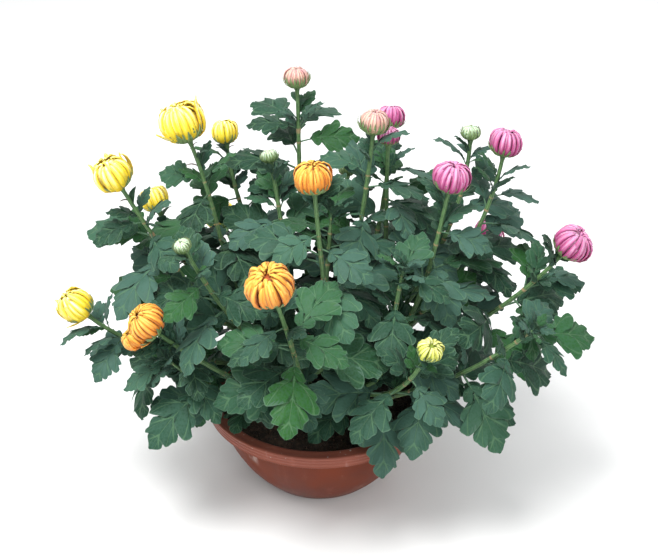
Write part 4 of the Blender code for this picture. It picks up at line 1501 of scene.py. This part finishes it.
for number, row in enumerate(shoots):
    if "shoot_" + row[0] in headed:
        makeHead(number, row, stemPaths["shoot_" + row[0]])
for strip in stripStore.values():
    bpy.data.objects.remove(strip, do_unlink=True)
print("flower heads made")


# the pot's finer points, beside its main sizes in potSize
potLook = {
    "steps": 96, "bowlRows": 18, "rowCrowding": 1.6, "floorStep": 0.0002,
    "ridges": 3, "ridgeRows": 8, "ridgeDepth": 0.0007, "ridgeInset": 0.0006,
    "footStep": 0.0008, "footHeight": 0.006, "footFade": 0.02, "bandChamfer": 0.0004,
    "outerLip": [(0.0008, 0.0003), (0.0022, 0.0), (0.0045, 0.0005)],    # in from the rim, and down
    "innerLip": [(0.0045, 0.0006), (0.0018, 0.0), (0.0004, 0.0004), (0.0, 0.0014)],    # out, and down
    "drains": 6, "drainRing": 0.036, "drainRadius": 0.004, "drainTurn": 0.3, "drainSteps": 20,
}


def bowlRadius(level):
    fall = (1.0 - level) ** potSize["roundness"]
    swell = (1.0 - fall) ** (1.0 / potSize["roundness"])
    top = potSize["rimInner"] + potSize["wall"] - potSize["bandTaper"]
    return potSize["footRadius"] + (top - potSize["footRadius"]) * swell


# levels up the bowl from 0 to 1, closer together near the foot, with their heights
def bowlLevels(look):
    top = potSize["height"] - potSize["bandHeight"] + potSize["gap"]
    levels = [(i / look["bowlRows"]) ** look["rowCrowding"] for i in range(look["bowlRows"] + 1)]
    return [(level, level * top) for level in levels]


def innerWall(look):
    wall = [(potSize["footRadius"] - potSize["wall"], potSize["floorThick"])]
    for i, (level, height) in enumerate(bowlLevels(look)[1:], 1):
        least = potSize["floorThick"] + look["floorStep"] * i
        wall.append((bowlRadius(level) - potSize["wall"], max(height, least)))
    return wall


def potProfile(look):
    top, rim, inner = potSize["height"], potSize["rimRadius"], potSize["rimInner"]
    wall, taper = potSize["wall"], potSize["bandTaper"]
    bandFoot = top - potSize["bandHeight"]
    chamfer, inset = look["bandChamfer"], look["ridgeInset"]
    outside = [(0.0, 0.0)]
    for level, height in bowlLevels(look):
        radius = bowlRadius(level)
        if height > look["footHeight"]:
            radius -= look["footStep"] * max(0.0, 1.0 - (height - look["footHeight"]) / look["footFade"])
        outside.append((radius, height))
    outside += [
        (inner + wall, top - wall), (rim - wall, top - wall), (rim - taper - wall, bandFoot + chamfer),
        (rim - taper - wall + chamfer, bandFoot), (rim - taper - inset, bandFoot),
    ]
    rows = look["ridgeRows"] * look["ridges"]
    for i in range(rows + 1):
        part = i / rows
        dip = look["ridgeDepth"] * (0.5 - 0.5 * math.cos(2.0 * math.pi * part * look["ridges"]))
        height = bandFoot + inset + (potSize["bandHeight"] - 3.0 * inset) * part
        outside.append((rim - taper * (1.0 - part) - dip, height))
    outside += [(rim - back, top - drop) for back, drop in look["outerLip"]]
    outside += [(inner + out, top - drop) for out, drop in look["innerLip"]]
    return outside + innerWall(look)[::-1] + [(0.0, potSize["floorThick"])]


def makePot(look):
    shape = emptyShape()
    addTurned(shape, potProfile(look), look["steps"])
    finish = potFinish(potColours, potSize["height"] - potSize["bandHeight"])
    pot = shapeObject("bowlPot", shape, [finish])
    radius, depth = look["drainRadius"], 2.0 * potSize["floorThick"]
    cutters = []
    for i in range(look["drains"]):
        angle = 2.0 * math.pi * (i + look["drainTurn"]) / look["drains"]
        hole = emptyShape()
        line = [(0.0, -depth), (radius, -depth), (radius, depth), (0.0, depth)]
        addTurned(hole, line, look["drainSteps"])
        cutter = shapeObject("drainCutter", hole)
        cutter.location = (look["drainRing"] * math.cos(angle), look["drainRing"] * math.sin(angle), 0.0)
        cut = pot.modifiers.new("drain", "BOOLEAN")
        cut.operation = "DIFFERENCE"
        cut.solver = "EXACT"
        cut.object = cutter
        cutters.append(cutter)
    plainMesh(pot)
    for cutter in cutters:
        bpy.data.objects.remove(cutter, do_unlink=True)
    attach(pot, "root")
    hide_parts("pot")


makePot(potLook)
print("pot made")


# soil with bits of bark and peat strewn on it
soilLook = {
    "rings": 26, "steps": 90, "barkPart": 0.25, "crumbBarkPart": 0.75,
    "lumps": 0.0022, "lumpScales": ((90.0, 1.0), (260.0, 0.5)), "edgeOver": 0.008, "sunk": 0.0008,
    "crumbs": 1500, "crumbSize": 0.0022, "crumbSpread": (0.35, 1.25), "seed": 7,
    "crumbHalf": (0.75, 0.5, 0.35), "crumbUneven": (0.7, 1.2),
    "groundSteps": 48, "groundInset": 0.002, "groundLift": 0.0004,
}


def crumbTree(look):
    tree, given = newTree("strewnCrumbs", "Ground", [
        ("Crumb", "Object"), ("Crumbs per Square Metre", "Float"), ("Crumb Size", "Float"),
        ("Seed", "Int"), ("Finish", "Material"),
    ], "Crumbs")
    points = added(tree, "GeometryNodeDistributePointsOnFaces", {
        "Mesh": given["Ground"], "Density": given["Crumbs per Square Metre"], "Seed": given["Seed"],
    }).outputs["Points"]
    inputs = {1: (2.0 * math.pi,) * 3, "Seed": given["Seed"]}
    turn = added(tree, "FunctionNodeRandomValue", inputs, data_type="FLOAT_VECTOR").outputs[0]
    size = times(tree, drawn(tree, given, 1, *look["crumbSpread"]), given["Crumb Size"])
    return endTree(tree, given, strewn(tree, points, given["Crumb"], turn, size))


# the soil's outline up to its edge, and the rings of its domed top
def soilProfile(look):
    gap, edgeHeight = potSize["gap"], potSize["soilEdge"]
    wall = [(radius - gap, height) for radius, height in innerWall(potLook)]
    low = [point for point in wall if point[1] < edgeHeight]
    above = wall[len(low)]
    part = (edgeHeight - low[-1][1]) / (above[1] - low[-1][1])
    edge = low[-1][0] + part * (above[0] - low[-1][0]) - gap
    foot = potSize["floorThick"] + gap
    side = [(0.0, foot), (low[0][0] - gap, foot)]
    side += [(radius - gap, height) for radius, height in low[1:]] + [(edge, edgeHeight)]
    dome = []
    for i in range(1, look["rings"]):
        share = 1.0 - i / look["rings"]
        rise = (potSize["soilMiddle"] - edgeHeight) * (1.0 - share ** 2)
        dome.append((edge * share, edgeHeight + rise))
    return side, dome, edge


def makeSoil(look):
    side, dome, edge = soilProfile(look)
    shape = emptyShape()
    addTurned(shape, side + dome + [(0.0, potSize["soilMiddle"])], look["steps"])
    for i, (x, y, z) in enumerate(shape["points"]):
        if z > potSize["soilEdge"] + 0.00001:
            lump = sum(share * noise.noise(Vector((x, y, z)) * scale) for scale, share in look["lumpScales"])
            settled = min(1.0, (edge - math.hypot(x, y)) / look["edgeOver"])
            shape["points"][i] = (x, y, z + look["lumps"] * lump * settled - look["sunk"])
    soil = shapeObject("pottingSoil", shape, [soilFinish("peatSoil", soilColours, look["barkPart"])])
    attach(soil, "root")
    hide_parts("soil")

    chance = random.Random(look["seed"])
    crumbShape = emptyShape()
    for i in range(8):
        corner = [half if i & bit else -half for half, bit in zip(look["crumbHalf"], (4, 2, 1))]
        addPoint(crumbShape, [part * chance.uniform(*look["crumbUneven"]) for part in corner], ())
    for corners in ((0, 1, 3, 2), (4, 6, 7, 5), (0, 4, 5, 1), (2, 3, 7, 6), (0, 2, 6, 4), (1, 5, 7, 3)):
        addFace(crumbShape, corners)
    crumb = shapeObject("crumb", crumbShape)
    ground = emptyShape()
    rim = (edge - look["groundInset"], potSize["soilEdge"] + look["groundLift"])
    addTurned(ground, [rim] + dome[2:], look["groundSteps"])
    crumbs = shapeObject("soilCrumbs", ground)
    addTree(crumbs, crumbTree(look), {
        "Crumb": crumb, "Crumbs per Square Metre": look["crumbs"] / (math.pi * edge * edge),
        "Crumb Size": look["crumbSize"], "Seed": look["seed"],
        "Finish": soilFinish("barkBits", soilColours, look["crumbBarkPart"]),
    })
    plainMesh(crumbs)
    bpy.data.objects.remove(crumb, do_unlink=True)
    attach(crumbs, "root")


makeSoil(soilLook)
print("soil made")


# pale floor and soft studio light
studio = {
    "reach": 4.0, "floorHeight": -0.0002, "floorRoughness": 0.9,
    "floorColours": {"plain": (0.86, 0.86, 0.85), "grain": (0.78, 0.78, 0.77)},
    "sky": (0.96, 0.98, 1.0), "skyStrength": 0.72, "aim": (0.0, 0.0, 0.2),
    "lights": [
        # name, place, size, watts
        ("overhead", (-0.5, -0.5, 1.9), 1.1, 44.0),
        ("front", (0.7, -1.9, 1.3), 1.2, 15.0),
        ("rear", (0.3, 1.6, 1.4), 1.2, 8.0),
    ],
}


def makeStudio(setup):
    shape = emptyShape()
    for x, y in ((-1, -1), (1, -1), (1, 1), (-1, 1)):
        addPoint(shape, (x * setup["reach"], y * setup["reach"], setup["floorHeight"]), ())
    addFace(shape, (0, 1, 2, 3))
    finish, tree = newFinish("paleFloor")
    colours = setup["floorColours"]
    grain = cloud(tree, objectPoint(tree), 30.0)
    dressed(finish, {
        "Base Color": laid(tree, colours["plain"], colours, [(grain, 0.3, 0.7, 0.0, 0.06, "grain")]),
        "Roughness": setup["floorRoughness"],
    })
    floor = shapeObject("floor", shape, [finish])
    world = bpy.data.worlds.new("studioSky")
    world.use_nodes = True
    background = world.node_tree.nodes["Background"].inputs
    background[0].default_value = (*setup["sky"], 1.0)
    background[1].default_value = setup["skyStrength"]
    scene.world = world
    for name, place, size, watts in setup["lights"]:
        lightData = bpy.data.lights.new(name, "AREA")
        lightData.shape = "DISK"
        lightData.size = size
        lightData.energy = watts
        light = bpy.data.objects.new(name, lightData)
        light.location = place
        towards = Vector(setup["aim"]) - Vector(place)
        light.rotation_euler = towards.to_track_quat("-Z", "Y").to_euler()
        scene.collection.objects.link(light)


makeStudio(studio)
scene.view_settings.view_transform = "Standard"
print("studio made")
